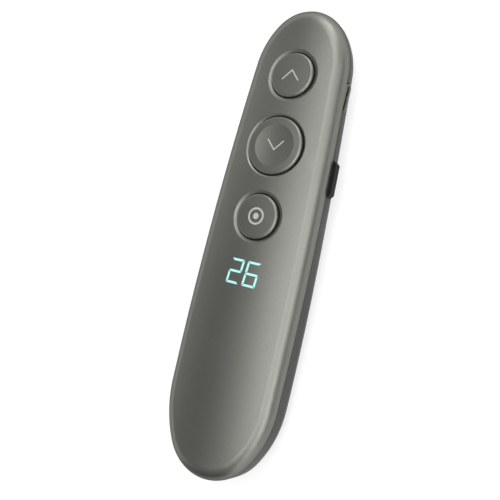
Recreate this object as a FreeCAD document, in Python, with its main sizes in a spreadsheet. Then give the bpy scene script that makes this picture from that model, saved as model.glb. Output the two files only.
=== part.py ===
"""Hand-held wireless presentation clicker with three buttons, a hidden display and a stowed receiver.

Millimetres. +Z is up, out of the button face, +Y points to the nose and +X to the side with the
charging port. The origin lies under the middle of the body, on the flat underside.
"""
import FreeCAD, Part
import math
import os
import Sketcher

Vector = FreeCAD.Vector
Rotation = FreeCAD.Rotation
UP = Vector(0, 0, 1)

SIZES = [
    # Plan outline: a tip arc and a shoulder arc at each end, and one long flank arc between them
    ("nose_land", 22.2),
    ("tail_land", 12.0),
    ("nose_tip_radius", 13.8),
    ("nose_tip_angle", 50.7),
    ("nose_shoulder_radius", 23.7),
    ("tail_tip_radius", 16.0),
    ("tail_tip_angle", 57.0),
    ("tail_shoulder_radius", 35.5),
    ("flank_radius", 1360.0),
    # Shells: heights, crown over the buttons, rounding above and below the seam
    ("seam_height", 12.6),
    ("crown_rise", 6.6),
    ("crown_radius", 68.0),
    ("camber_radius", 2400.0),
    ("shoulder_fillet", 4.6),
    ("nose_bilge", 12.0),
    ("tail_bilge", 8.0),
    ("shell_wall", 1.6),
    ("seam_chamfer", 0.2),
    ("lip_wall", 0.7),
    ("lip_height", 1.0),
    ("lip_clearance", 0.1),
    ("overrun", 2.0),
    # Buttons
    ("spotlight_y", 7.6),
    ("button_pitch", 22.6),
    ("small_cap_radius", 7.15),
    ("next_cap_radius", 9.25),
    ("cap_gap", 0.35),
    ("cap_fillet", 0.8),
    ("cap_dome_radius", 120.0),
    ("small_cap_rise", 0.65),
    ("next_cap_rise", 0.45),
    ("small_bevel_width", 0.95),
    ("small_bevel_depth", 0.38),
    ("next_bevel_width", 0.55),
    ("next_bevel_depth", 0.35),
    ("collar_drop", 3.3),
    ("collar_wall", 1.2),
    ("flange_overlap", 0.75),
    ("flange_thickness", 0.8),
    ("post_radius", 1.6),
    ("dish_radius", 6.65),
    ("dish_depth", 0.5),
    ("icon_depth", 0.15),
    ("chevron_width", 5.9),
    ("chevron_height", 3.2),
    ("chevron_stroke", 0.42),
    ("ring_radius", 2.7),
    ("ring_stroke", 0.6),
    ("dot_radius", 0.95),
    # Push switches on the board
    ("tact_side", 6.2),
    ("tact_height", 3.5),
    ("plunger_radius", 1.75),
    ("plunger_height", 5.0),
    ("plunger_clearance", 0.1),
    ("button_travel", 0.35),
    ("plunger_engagement", 0.8),
    # Circuit board
    ("board_height", 8.2),
    ("board_thickness", 1.0),
    ("board_inset", 2.8),
    ("board_nose_margin", 8.7),
    ("board_tail_margin", 5.4),
    ("board_post_x", 11.8),
    ("nose_post_gap", 7.8),
    ("tail_post_inset", 6.0),
    ("board_post_radius", 2.2),
    ("board_screw_radius", 0.9),
    ("board_screw_length", 5.0),
    ("board_screw_head_radius", 1.75),
    ("board_screw_head_height", 1.2),
    ("screw_clearance", 0.1),
    ("screw_slot_width", 0.5),
    ("screw_slot_depth", 0.4),
    # Case screws and their bosses
    ("nose_screw_gap", 13.2),
    ("middle_screw_x", 8.0),
    ("middle_screw_gap", 4.5),
    ("tail_screw_gap", 3.5),
    ("case_screw_radius", 1.0),
    ("case_screw_length", 9.5),
    ("case_screw_head_radius", 1.9),
    ("case_screw_head_height", 1.4),
    ("screw_recess", 3.6),
    ("boss_radius", 3.1),
    ("boss_meet", 10.0),
    # Display behind the upper shell
    ("display_y", 10.2),
    ("digit_width", 4.7),
    ("digit_height", 7.9),
    ("digit_pitch", 5.8),
    ("digit_stroke", 0.75),
    ("digit_gap", 0.12),
    ("digit_slant_angle", 4.5),
    ("light_box_width", 14.0),
    ("light_box_depth", 11.0),
    ("light_box_wall", 1.0),
    ("light_box_drop", 2.7),
    ("film_thickness", 0.25),
    ("led_side", 1.6),
    ("led_height", 0.8),
    # Charging port in the right wall
    ("port_gap", 3.4),
    ("port_width", 8.94),
    ("port_height", 3.2),
    ("port_depth", 7.35),
    ("port_setback", 1.1),
    ("port_corner", 1.5),
    ("port_metal", 0.3),
    ("port_margin", 0.15),
    ("port_clearance", 0.05),
    ("tongue_width", 6.6),
    ("tongue_thickness", 0.7),
    ("tongue_length", 4.6),
    ("tongue_recess", 0.8),
    ("contact_length", 3.8),
    ("contact_width", 0.25),
    ("contact_pitch", 0.5),
    ("contact_thickness", 0.05),
    # Side slide switch
    ("switch_gap", 6.5),
    ("switch_travel", 2.5),
    ("knob_length", 11.6),
    ("knob_height", 3.1),
    ("knob_rise", 1.2),
    ("knob_slope", 1.1),
    ("knob_gap", 0.15),
    ("knob_drop", 0.1),
    ("knob_fillet", 0.25),
    ("stem_length", 2.6),
    ("stem_width", 4.0),
    ("stem_height", 1.2),
    ("stem_clearance", 0.15),
    ("can_length", 8.6),
    ("can_depth", 3.6),
    ("can_height", 2.8),
    ("can_setback", 3.6),
    ("can_wall", 0.3),
    ("lever_width", 1.6),
    ("slider_length", 3.0),
    ("slider_depth", 2.0),
    # Battery
    ("battery_tail_inset", 4.0),
    ("battery_length", 45.0),
    ("battery_width", 17.5),
    ("battery_thickness", 5.0),
    ("battery_fillet", 1.2),
    ("pad_width", 13.0),
    ("pad_thickness", 0.8),
    ("lead_spacing", 2.4),
    ("lead_radius", 0.5),
    ("lead_overhang", 3.4),
    ("plug_width", 5.0),
    ("plug_depth", 3.6),
    ("plug_height", 2.6),
    ("plug_gap", 11.9),
    # Parts soldered to the board
    ("controller_side", 6.0),
    ("controller_x", 4.0),
    ("controller_gap", 11.3),
    ("chip_side", 3.0),
    ("chip_height", 0.9),
    ("motion_sensor_x", 6.5),
    ("motion_sensor_gap", 11.4),
    ("charger_x", 2.6),
    ("charger_gap", 16.4),
    ("crystal_length", 3.2),
    ("crystal_width", 2.5),
    ("crystal_x", 3.0),
    ("antenna_length", 7.0),
    ("antenna_width", 2.0),
    ("antenna_inset", 2.1),
    ("motor_radius", 4.0),
    ("motor_height", 2.7),
    ("motor_x", 9.5),
    ("motor_gap", 4.8),
    ("passive_length", 1.0),
    ("passive_width", 0.5),
    ("passive_pitch", 1.6),
    # Receiver stowed in the underside
    ("bay_gap", 8.0),
    ("bay_width", 15.2),
    ("bay_length", 22.0),
    ("bay_depth", 6.6),
    ("bay_wall", 1.2),
    ("receiver_sink", 0.2),
    ("receiver_clearance", 0.3),
    ("receiver_grip_length", 8.4),
    ("receiver_fillet", 1.0),
    ("plug_shell_width", 12.0),
    ("plug_shell_height", 4.5),
    ("plug_shell_length", 12.0),
    ("plug_shell_metal", 0.3),
    ("plug_tongue_thickness", 1.9),
    ("scoop_radius", 4.5),
    ("scoop_depth", 4.4),
    ("magnet_radius", 3.0),
    ("magnet_thickness", 1.5),
]

PASSIVE_SHARES = [
    # Places of the rows of small parts, as shares of the nose's tip radius and of the board's nose end
    (-0.62, 0.74),
    (-0.62, 0.58),
    (0.30, 0.60),
    (-0.66, 0.20),
    (0.46, 0.10),
    (-0.30, -0.36),
]

# Lit bars of the figures 2 and 6, by their usual letters
LIT_SEGMENTS = ["abged", "afgecd"]
LED_ROWS = 3
CONTACTS = 12

doc = FreeCAD.newDocument("clicker")
sheet = doc.addObject("Spreadsheet::Sheet", "size")
parts = []


# Helpers

def fill_sheet():
    """Write every driving size to the spreadsheet under its own alias."""
    for row, (name, value) in enumerate(SIZES, 1):
        sheet.set(f"A{row}", name)
        sheet.set(f"B{row}", str(value))
        sheet.setAlias(f"B{row}", name)
    doc.recompute()


def number(text):
    """The value of an expression written in the spreadsheet's aliases."""
    value = sheet.evalExpression(str(text).replace("size.", ""))
    return float(getattr(value, "Value", value))


def bind(thing, **expressions):
    """Bind properties to expressions."""
    for name, text in expressions.items():
        thing.setExpression(name, text)


def place(thing, x="0", y="0", z="0"):
    thing.setExpression("Placement.Base.x", x)
    thing.setExpression("Placement.Base.y", y)
    thing.setExpression("Placement.Base.z", z)


def block(name, x, y, z, width, depth, height):
    """A box centred on x and y that stands on height z."""
    box = doc.addObject("Part::Box", name)
    bind(box, Length=width, Width=depth, Height=height)
    place(box, f"({x}) - ({width}) / 2", f"({y}) - ({depth}) / 2", z)
    return box


def rod(name, x, y, z, radius, height):
    """An upright cylinder that stands on height z."""
    cylinder = doc.addObject("Part::Cylinder", name)
    bind(cylinder, Radius=radius, Height=height)
    place(cylinder, x, y, z)
    return cylinder


def fuse(name, pieces):
    joined = doc.addObject("Part::MultiFuse", name)
    joined.Shapes = pieces
    return joined


def join(name, base, pieces):
    """Base with the pieces joined on one after another, which keeps each contact simple."""
    for index, piece in enumerate(pieces, 1):
        step = doc.addObject("Part::Fuse", f"{name}_{index}")
        step.Base = base
        step.Tool = piece
        base = step
    return base


def common(name, pieces):
    shared = doc.addObject("Part::MultiCommon", name)
    shared.Shapes = pieces
    return shared


def cut(name, base, tools):
    """Base without its tools, which are joined first where there are several."""
    result = doc.addObject("Part::Cut", name)
    result.Base = base
    result.Tool = tools[0] if len(tools) == 1 else fuse(f"{name}_tools", tools)
    return result


def rounded(name, base, radius, choose):
    """Base with the chosen edges rounded; the radius is an expression."""
    doc.recompute()
    reach = number(radius)
    result = doc.addObject("Part::Fillet", name)
    result.Base = base
    result.Edges = [(i, reach, reach) for i, edge in enumerate(base.Shape.Edges, 1) if choose(edge)]
    return result


def shaped(name, shape):
    """A piece whose shape is worked out from the sheet's sizes."""
    piece = doc.addObject("Part::Feature", name)
    piece.Shape = shape
    return piece


def prism(points, height):
    """An upright solid on a polygon that runs either way round."""
    solid = Part.Face(Part.makePolygon(points + points[:1])).extrude(Vector(0, 0, height))
    return solid if solid.Volume > 0 else solid.reversed()


def keep(piece):
    """Mark a finished sub-part for export under its own label."""
    parts.append(piece)
    return piece


def is_upright(edge):
    return abs(edge.tangentAt(edge.FirstParameter).z) > 1 - EPSILON


def is_across(edge):
    return abs(edge.tangentAt(edge.FirstParameter).x) > 1 - EPSILON


def runs_along_y(edge):
    return abs(edge.tangentAt(edge.FirstParameter).y) > 1 - EPSILON


def lies_at(edge, height):
    box = edge.BoundBox
    return abs(box.ZMin - height) < EPSILON and abs(box.ZMax - height) < EPSILON


EPSILON = 1e-6

# Places along the body, each told from the piece beside it
NEXT_Y = "(size.spotlight_y + size.button_pitch)"
PREVIOUS_Y = "(size.spotlight_y + 2 * size.button_pitch)"
NOSE = f"({PREVIOUS_Y} + size.nose_land)"
PORT_Y = f"({PREVIOUS_Y} - size.port_gap)"
SWITCH_Y = f"({NEXT_Y} - size.switch_gap)"
BOARD_NOSE = f"({PREVIOUS_Y} + size.board_nose_margin)"
BOX_TAIL = "(-size.display_y - size.light_box_depth / 2)"
PLUG_Y = f"({BOX_TAIL} - size.plug_gap)"
BOARD_TAIL = f"({PLUG_Y} - size.board_tail_margin)"
BATTERY_TAIL = f"({BOARD_TAIL} + size.battery_tail_inset)"
BAY_NOSE = f"({BOARD_TAIL} - size.bay_gap)"
BAY_Y = f"({BAY_NOSE} - size.bay_length / 2)"
TAIL = f"({BAY_NOSE} - size.bay_length - size.tail_land)"

# Heights
SEAM = "size.seam_height"
TOP = "(size.seam_height + size.crown_rise)"
BOARD_TOP = "(size.board_height + size.board_thickness)"


def crown_at(y):
    """Height of the crown's ridge at a place along the body, as an expression."""
    return f"({TOP} - ({y}) * ({y}) / (2 * size.camber_radius))"


# Plan outline shared by the shells and the board

def origin_plane(body, role):
    return next(item for item in body.Origin.OriginFeatures if item.Role == role)


def sketch_on(body, name, role, offset="0"):
    sketch = body.newObject("Sketcher::SketchObject", name)
    sketch.AttachmentSupport = [(origin_plane(body, role), "")]
    sketch.MapMode = "FlatFace"
    sketch.setExpression("AttachmentOffset.Base.z", offset)
    return sketch


def bound(sketch, name, constraint, text):
    """Add a named constraint whose value follows an expression."""
    index = sketch.addConstraint(constraint)
    sketch.renameConstraint(index, name)
    sketch.setExpression(f"Constraints.{name}", text)


def outline_arcs(inset):
    """Centre, radius and angles of the nose arc, the tail arc and the three arcs of the right side."""
    nose_radius = number("nose_tip_radius")
    tail_radius = number("tail_tip_radius")
    nose_shoulder = number("nose_shoulder_radius")
    tail_shoulder = number("tail_shoulder_radius")
    flank = number("flank_radius")
    nose_turn = math.radians(number("nose_tip_angle"))
    tail_turn = math.radians(number("tail_tip_angle"))
    nose = Vector(0, number(NOSE) - nose_radius, 0)
    tail = Vector(0, number(TAIL) + tail_radius, 0)
    upper = nose + Vector(math.sin(nose_turn), math.cos(nose_turn), 0) * (nose_radius - nose_shoulder)
    lower = tail + Vector(math.sin(tail_turn), -math.cos(tail_turn), 0) * (tail_radius - tail_shoulder)
    # The flank arc touches both shoulder arcs from inside, so its centre closes a triangle
    side_a = flank - nose_shoulder
    side_b = flank - tail_shoulder
    span = (lower - upper).Length
    along = (lower - upper) / span
    foot = (side_a ** 2 - side_b ** 2 + span ** 2) / (2 * span)
    across = Vector(along.y, -along.x, 0)
    centre = upper + along * foot + across * math.sqrt(side_a ** 2 - foot ** 2)
    start = math.atan2((upper - centre).y, (upper - centre).x)
    end = math.atan2((lower - centre).y, (lower - centre).x)
    quarter = math.pi / 2
    nose_arc = (nose, nose_radius - inset, quarter - nose_turn, quarter + nose_turn)
    tail_arc = (tail, tail_radius - inset, -quarter - tail_turn, tail_turn - quarter)
    right = [
        (upper, nose_shoulder - inset, start, quarter - nose_turn),
        (centre, flank - inset, end, start),
        (lower, tail_shoulder - inset, tail_turn - quarter, end),
    ]
    return nose_arc, tail_arc, right


def flank_point(y):
    """Place on the right wall at a distance along the body, and the wall's turn from straight ahead."""
    centre, radius = outline_arcs(0)[2][1][:2]
    rise = number(y) - centre.y
    x = centre.x + math.sqrt(radius ** 2 - rise ** 2)
    return Vector(x, number(y), 0), math.degrees(math.asin(rise / radius))


def draw_outline(sketch, inset):
    """Eight tangent arcs, an even inset inside the body's outline."""
    nose_arc, tail_arc, right = outline_arcs(number(inset))

    def add(centre, radius, start, end):
        arc = Part.ArcOfCircle(Part.Circle(centre, UP, radius), start, end)
        return sketch.addGeometry(arc, False)

    nose = add(*nose_arc)
    tail = add(*tail_arc)
    rights = [add(*arc) for arc in right]
    lefts = [add(Vector(-c.x, c.y, 0), r, math.pi - b, math.pi - a) for c, r, a, b in right]
    rule = Sketcher.Constraint
    sketch.addConstraint([
        rule("Tangent", rights[0], 2, nose, 1),
        rule("Tangent", rights[1], 2, rights[0], 1),
        rule("Tangent", rights[2], 2, rights[1], 1),
        rule("Tangent", tail, 2, rights[2], 1),
        rule("Tangent", lefts[0], 1, nose, 2),
        rule("Tangent", lefts[1], 1, lefts[0], 2),
        rule("Tangent", lefts[2], 1, lefts[1], 2),
        rule("Tangent", tail, 1, lefts[2], 2),
        rule("PointOnObject", nose, 3, -2),
        rule("PointOnObject", tail, 3, -2),
        rule("Symmetric", nose, 1, nose, 2, -2),
        rule("Symmetric", tail, 1, tail, 2, -2),
    ])
    sketch.addConstraint([rule("Equal", a, b) for a, b in zip(rights, lefts)])

    for name, arc, value in (
        ("nose_tip_radius", nose, nose_arc[1]),
        ("tail_tip_radius", tail, tail_arc[1]),
        ("nose_shoulder_radius", rights[0], right[0][1]),
        ("flank_radius", rights[1], right[1][1]),
        ("tail_shoulder_radius", rights[2], right[2][1]),
    ):
        bound(sketch, name, rule("Radius", arc, value), f"size.{name} - ({inset})")
    bound(sketch, "nose_centre", rule("DistanceY", -1, 1, nose, 3, nose_arc[0].y),
          f"{NOSE} - size.nose_tip_radius")
    bound(sketch, "tail_centre", rule("DistanceY", tail, 3, -1, 1, -tail_arc[0].y),
          f"-{TAIL} - size.tail_tip_radius")
    bound(sketch, "nose_half", rule("DistanceX", -1, 1, nose, 1, nose_arc[1] * math.cos(nose_arc[2])),
          f"(size.nose_tip_radius - ({inset})) * sin(size.nose_tip_angle * 1 deg)")
    bound(sketch, "tail_half", rule("DistanceX", -1, 1, tail, 2, tail_arc[1] * math.cos(tail_arc[3])),
          f"(size.tail_tip_radius - ({inset})) * sin(size.tail_tip_angle * 1 deg)")


def outline_body(name, inset, base, height):
    """A straight-sided body of the plan outline."""
    body = doc.addObject("PartDesign::Body", name)
    sketch = sketch_on(body, f"{name}_outline", "XY_Plane", base)
    draw_outline(sketch, inset)
    pad = body.newObject("PartDesign::Pad", f"{name}_pad")
    pad.Profile = sketch
    pad.setExpression("Length", height)
    doc.recompute()
    return body, pad


def cut_crown(body, name, drop):
    """Round the top across the body and, with a far larger radius, along it."""
    top = number(f"{TOP} - ({drop})")
    radius = number(f"size.crown_radius - ({drop})")
    half = number("size.crown_radius / 2")
    ceiling = top + number("size.crown_rise")
    shoulder = top - radius + math.sqrt(radius ** 2 - half ** 2)
    sketch = sketch_on(body, f"{name}_crown", "XZ_Plane")
    turn = math.asin(half / radius)
    quarter = math.pi / 2
    circle = Part.Circle(Vector(0, top - radius, 0), UP, radius)
    corners = [Vector(-half, shoulder, 0), Vector(-half, ceiling, 0), Vector(half, ceiling, 0),
               Vector(half, shoulder, 0)]
    sketch.addGeometry(Part.ArcOfCircle(circle, quarter - turn, quarter + turn), False)
    for start, end in zip(corners, corners[1:]):
        sketch.addGeometry(Part.LineSegment(start, end), False)
    axis_height = number(f"{TOP} - size.camber_radius")
    sketch.addGeometry(Part.LineSegment(Vector(-half, axis_height, 0), Vector(half, axis_height, 0)), True)
    rule = Sketcher.Constraint
    sketch.addConstraint([rule("Coincident", 0, 2, 1, 1), rule("Coincident", 1, 2, 2, 1),
                          rule("Coincident", 2, 2, 3, 1), rule("Coincident", 3, 2, 0, 1)])
    sketch.addConstraint([rule("Symmetric", 0, 1, 0, 2, -2), rule("Vertical", 1), rule("Vertical", 3),
                          rule("Horizontal", 2), rule("Symmetric", 4, 1, 4, 2, -2), rule("Equal", 2, 4)])
    for alias, constraint, text in (
        ("crown_radius", rule("Radius", 0, radius), f"size.crown_radius - ({drop})"),
        ("crown_centre", rule("DistanceY", 0, 3, -1, 1, radius - top), f"size.crown_radius - {TOP}"),
        ("half_width", rule("DistanceX", -1, 1, 3, 1, half), "size.crown_radius / 2"),
        ("ceiling", rule("DistanceY", -1, 1, 2, 1, ceiling), f"{TOP} - ({drop}) + size.crown_rise"),
        ("camber_axis", rule("DistanceY", 4, 1, -1, 1, -axis_height), f"size.camber_radius - {TOP}"),
    ):
        bound(sketch, alias, constraint, text)
    groove = body.newObject("PartDesign::Groove", f"{name}_crown_cut")
    groove.Profile = sketch
    groove.ReferenceAxis = (sketch, ["Axis0"])
    groove.Midplane = True
    groove.setExpression("Angle", f"2 * asin(({NOSE} - {TAIL}) / size.camber_radius)")
    doc.recompute()
    return groove


def dress(body, kind, name, base, choose, **sizes):
    """Add a fillet or a chamfer to the chosen edges of a body's last feature."""
    feature = body.newObject(f"PartDesign::{kind}", name)
    feature.Base = (base, [f"Edge{i}" for i, edge in enumerate(base.Shape.Edges, 1) if choose(edge)])
    for prop, text in sizes.items():
        feature.setExpression(prop, text)
    return feature


# Shell forms

def upper_form(name, inset, drop, fillet, chamfer=None):
    """Crowned body above the seam with its shoulder rounded all the way round."""
    body, pad = outline_body(name, inset, SEAM, "size.crown_rise + size.overrun")
    if chamfer:
        dress(body, "Chamfer", f"{name}_seam", pad, lambda edge: lies_at(edge, number(SEAM)), Size=chamfer)
        doc.recompute()
    groove = cut_crown(body, name, drop)
    seam = number(SEAM)
    tallest = number(f"{TOP} - ({drop})")
    low = (seam + tallest) / 2

    def on_shoulder(edge):
        return edge.BoundBox.ZMin > low and not is_upright(edge)

    dress(body, "Fillet", f"{name}_shoulder", groove, on_shoulder, Radius=fillet)
    doc.recompute()
    return body


def hull_form(name, inset, base, top, nose_radius, tail_radius, chamfer=None):
    """Body below the seam, whose lower edge is rounded more and more towards the nose."""
    body, pad = outline_body(name, inset, base, f"{top} - ({base})")
    if chamfer:
        dress(body, "Chamfer", f"{name}_seam", pad, lambda edge: lies_at(edge, number(top)), Size=chamfer)
        doc.recompute()
    bottom = number(base)
    nose = number(nose_radius)
    tail = number(tail_radius)

    def radius_near(y):
        return nose if y > 0 else tail

    edges = []
    for index, edge in enumerate(body.Shape.Edges, 1):
        if not lies_at(edge, bottom):
            continue
        first = edge.Vertexes[0].Point.y
        last = edge.Vertexes[-1].Point.y
        if edge.Curve.Radius < number("size.flank_radius") / 2:
            first = last = edge.CenterOfMass.y
        edges.append((index, radius_near(first), radius_near(last)))
    hull = doc.addObject("Part::Fillet", f"{name}_hull")
    hull.Base = body
    hull.Edges = edges
    doc.recompute()
    return hull


BUTTONS = [
    # Name, place along the body, cap radius and the cap's rise over the crown
    ("previous", PREVIOUS_Y, "size.small_cap_radius", "size.small_cap_rise"),
    ("next", NEXT_Y, "size.next_cap_radius", "size.next_cap_rise"),
    ("spotlight", "size.spotlight_y", "size.small_cap_radius", "size.small_cap_rise"),
]
COLLAR_BASE = f"({TOP} - size.collar_drop)"
FLANGE_BASE = f"({COLLAR_BASE} - size.flange_thickness)"
PLUNGER_TOP = f"({BOARD_TOP} + size.plunger_height)"


def button_wells(body):
    """Three round holes through the crown, each with a bevelled rim."""
    sketch = sketch_on(body, "button_wells", "XY_Plane", f"{TOP} + size.overrun")
    rule = Sketcher.Constraint
    for name, y, radius, rise in BUTTONS:
        hole = f"{radius} + size.cap_gap"
        circle = sketch.addGeometry(Part.Circle(Vector(0, number(y), 0), UP, number(hole)), False)
        sketch.addConstraint(rule("PointOnObject", circle, 3, -2))
        bound(sketch, f"{name}_place", rule("DistanceY", -1, 1, circle, 3, number(y)), y)
        bound(sketch, f"{name}_radius", rule("Radius", circle, number(hole)), hole)
    wells = body.newObject("PartDesign::Pocket", "wells")
    wells.Profile = sketch
    wells.Type = "ThroughAll"
    doc.recompute()

    def rim_of(radius):
        reach = number(f"{radius} + size.cap_gap")

        def choose(edge):
            box = edge.BoundBox
            near = abs(box.XLength / 2 - reach) < number("size.cap_gap")
            return near and box.ZMin > number(COLLAR_BASE)
        return choose

    small = dress(body, "Chamfer", "small_bevels", wells, rim_of("size.small_cap_radius"),
                  Size="size.small_bevel_width", Size2="size.small_bevel_depth")
    small.ChamferType = "Two distances"
    doc.recompute()
    large = dress(body, "Chamfer", "next_bevel", small, rim_of("size.next_cap_radius"),
                  Size="size.next_bevel_width", Size2="size.next_bevel_depth")
    large.ChamferType = "Two distances"
    doc.recompute()


def ring(name, x, y, z, outer, inner, height):
    """An upright tube."""
    core = rod(f"{name}_core", x, y, f"{z} - size.overrun", inner, f"{height} + 2 * size.overrun")
    return cut(name, rod(f"{name}_wall", x, y, z, outer, height), [core])


SCREW_PLACES = [
    ("0", f"({PREVIOUS_Y} + size.nose_screw_gap)"),
    ("size.middle_screw_x", f"({BOARD_TAIL} - size.middle_screw_gap)"),
    ("-size.middle_screw_x", f"({BOARD_TAIL} - size.middle_screw_gap)"),
    ("0", f"({BAY_NOSE} - size.bay_length - size.tail_screw_gap)"),
]
POST_PLACES = [
    ("size.board_post_x", f"({NEXT_Y} + size.nose_post_gap)"),
    ("-size.board_post_x", f"({NEXT_Y} + size.nose_post_gap)"),
    ("size.board_post_x", f"({BOARD_TAIL} + size.tail_post_inset)"),
    ("-size.board_post_x", f"({BOARD_TAIL} + size.tail_post_inset)"),
]
CASE_HOLE = "(size.case_screw_radius + size.screw_clearance)"
BOARD_HOLE = "(size.board_screw_radius + size.screw_clearance)"
ROOF = f"({TOP} - size.shell_wall)"


def on_wall(piece, y):
    """Move a piece drawn at the origin to its place on the right wall, square to it."""
    point, turn = flank_point(y)
    piece.Placement = FreeCAD.Placement(point, Rotation(UP, turn))
    return piece


def port_window(name):
    """Notch in the wall that holds the port's mouth, round at its lower corners and open at the seam."""
    base = f"({BOARD_TOP} - size.port_margin)"
    box = block(f"{name}_box", "0", "0", base, "2 * (size.port_setback + size.port_depth)",
                "size.port_width + 2 * size.port_margin", f"{SEAM} + size.overrun - {base}")
    low = number(base)

    def lower_corner(edge):
        return is_across(edge) and abs(edge.CenterOfMass.z - low) < EPSILON

    return on_wall(rounded(name, box, "size.port_corner + size.port_margin", lower_corner), PORT_Y)


STEM_BASE = f"({SEAM} - size.knob_drop - (size.knob_height + size.stem_height) / 2)"


def switch_window(name):
    """Slot in the wall that the knob's stem slides in."""
    slot = block(f"{name}_slot", "0", "-size.switch_travel / 2", f"{STEM_BASE} - size.stem_clearance",
                 "2 * size.stem_length", "size.stem_width + size.switch_travel + 2 * size.stem_clearance",
                 "size.stem_height + 2 * size.stem_clearance")
    window = doc.addObject("Part::Compound", name)
    window.Links = [slot]
    return on_wall(window, SWITCH_Y)


# Seven-segment display

def segment_points(letter, width, height, stroke, gap):
    """Corners of one bar of a seven-segment digit that stands on the origin."""
    middle = height / 2
    half = stroke / 2
    top = [(gap, height), (width - gap, height), (width - stroke - gap, height - stroke),
           (stroke + gap, height - stroke)]
    left = [(0, height - gap), (0, middle + gap), (half, middle + half + gap),
            (stroke, middle + half + gap), (stroke, height - stroke - gap)]
    centre = [(gap, middle), (half + gap, middle + half), (width - half - gap, middle + half),
              (width - gap, middle), (width - half - gap, middle - half), (half + gap, middle - half)]
    shapes = {
        "a": top,
        "d": [(x, height - y) for x, y in top],
        "f": left,
        "e": [(x, height - y) for x, y in left],
        "b": [(width - x, y) for x, y in left],
        "c": [(width - x, height - y) for x, y in left],
        "g": centre,
    }
    return shapes[letter]


def lit_bars():
    """Upright prisms of the lit bars, tall enough to pass through the shell's crown."""
    width = number("size.digit_width")
    tall = number("size.digit_height")
    stroke = number("size.digit_stroke")
    gap = number("size.digit_gap")
    lean = math.tan(math.radians(number("size.digit_slant_angle")))
    pitch = number("size.digit_pitch")
    base = number(f"{ROOF} - size.overrun")
    height = number(f"{TOP} + size.overrun") - base
    foot = number("-size.display_y") - tall / 2
    bars = []
    for index, letters in enumerate(LIT_SEGMENTS):
        start = (index - (len(LIT_SEGMENTS) - 1) / 2) * pitch - width / 2
        for letter in letters:
            corners = segment_points(letter, width, tall, stroke, gap)
            points = [Vector(start + x + (y - tall / 2) * lean, foot + y, base) for x, y in corners]
            bars.append(prism(points, height))
    return shaped("lit_bars", Part.makeCompound(bars))


def light_box():
    top = f"{TOP} - size.light_box_drop"
    y = "-size.display_y"
    wall = block("light_box_wall", "0", y, BOARD_TOP, "size.light_box_width", "size.light_box_depth",
                 f"{top} - {BOARD_TOP}")
    well = block("light_box_well", "0", y, f"{BOARD_TOP} - size.overrun",
                 "size.light_box_width - 2 * size.light_box_wall",
                 "size.light_box_depth - 2 * size.light_box_wall", f"{top} - {BOARD_TOP} + 2 * size.overrun")
    keep(cut("display_light_box", wall, [well]))
    keep(block("display_film", "0", y, top, "size.light_box_width", "size.light_box_depth",
               "size.film_thickness"))


def display_leds():
    chips = []
    for column in (-1, 1):
        for row in range(1 - LED_ROWS, LED_ROWS, 2):
            chips.append(block(f"led_{len(chips) + 1}", f"{column} * size.digit_pitch / 2",
                               f"{row} * size.digit_height / (2 * {LED_ROWS}) - size.display_y", BOARD_TOP,
                               "size.led_side", "size.led_side", "size.led_height"))
    keep(fuse("display_leds", chips))


# Shells

def upper_shell():
    """Painted cover with the button wells, and the bars of the display let into it."""
    body = upper_form("upper_form", "0", "0", "size.shoulder_fillet", "size.seam_chamfer")
    button_wells(body)
    inside = upper_form("upper_inside", "size.shell_wall", "size.shell_wall",
                        "size.shoulder_fillet - size.shell_wall")
    cover = cut("upper_cover", body, [inside])
    collars = []
    for name, y, radius, rise in BUTTONS:
        hole = f"({radius} + size.cap_gap)"
        collars.append(ring(f"{name}_collar", "0", y, COLLAR_BASE, f"{hole} + size.collar_wall", hole,
                            f"{ROOF} - {COLLAR_BASE}"))
    bosses = [ring(f"upper_boss_{i}", x, y, "size.boss_meet", "size.boss_radius", CASE_HOLE,
                   f"{ROOF} - size.boss_meet") for i, (x, y) in enumerate(SCREW_PLACES, 1)]
    lip_outer = outline_body("lip_outer", "size.shell_wall - size.lip_wall",
                             f"{SEAM} - size.lip_height", "2 * size.lip_height")[0]
    lip_inner = outline_body("lip_inner", "size.shell_wall", f"{SEAM} - size.lip_height - size.overrun",
                             "2 * size.lip_height + 2 * size.overrun")[0]
    lip = cut("lip", lip_outer, [lip_inner, port_window("lip_port_gap"), switch_window("lip_switch_gap")])
    whole = join("upper_whole", cover, [lip] + collars + bosses)
    bars = lit_bars()
    keep(common("display_windows", [whole, bars]))
    keep(cut("upper_shell", whole, [bars]))


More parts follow.
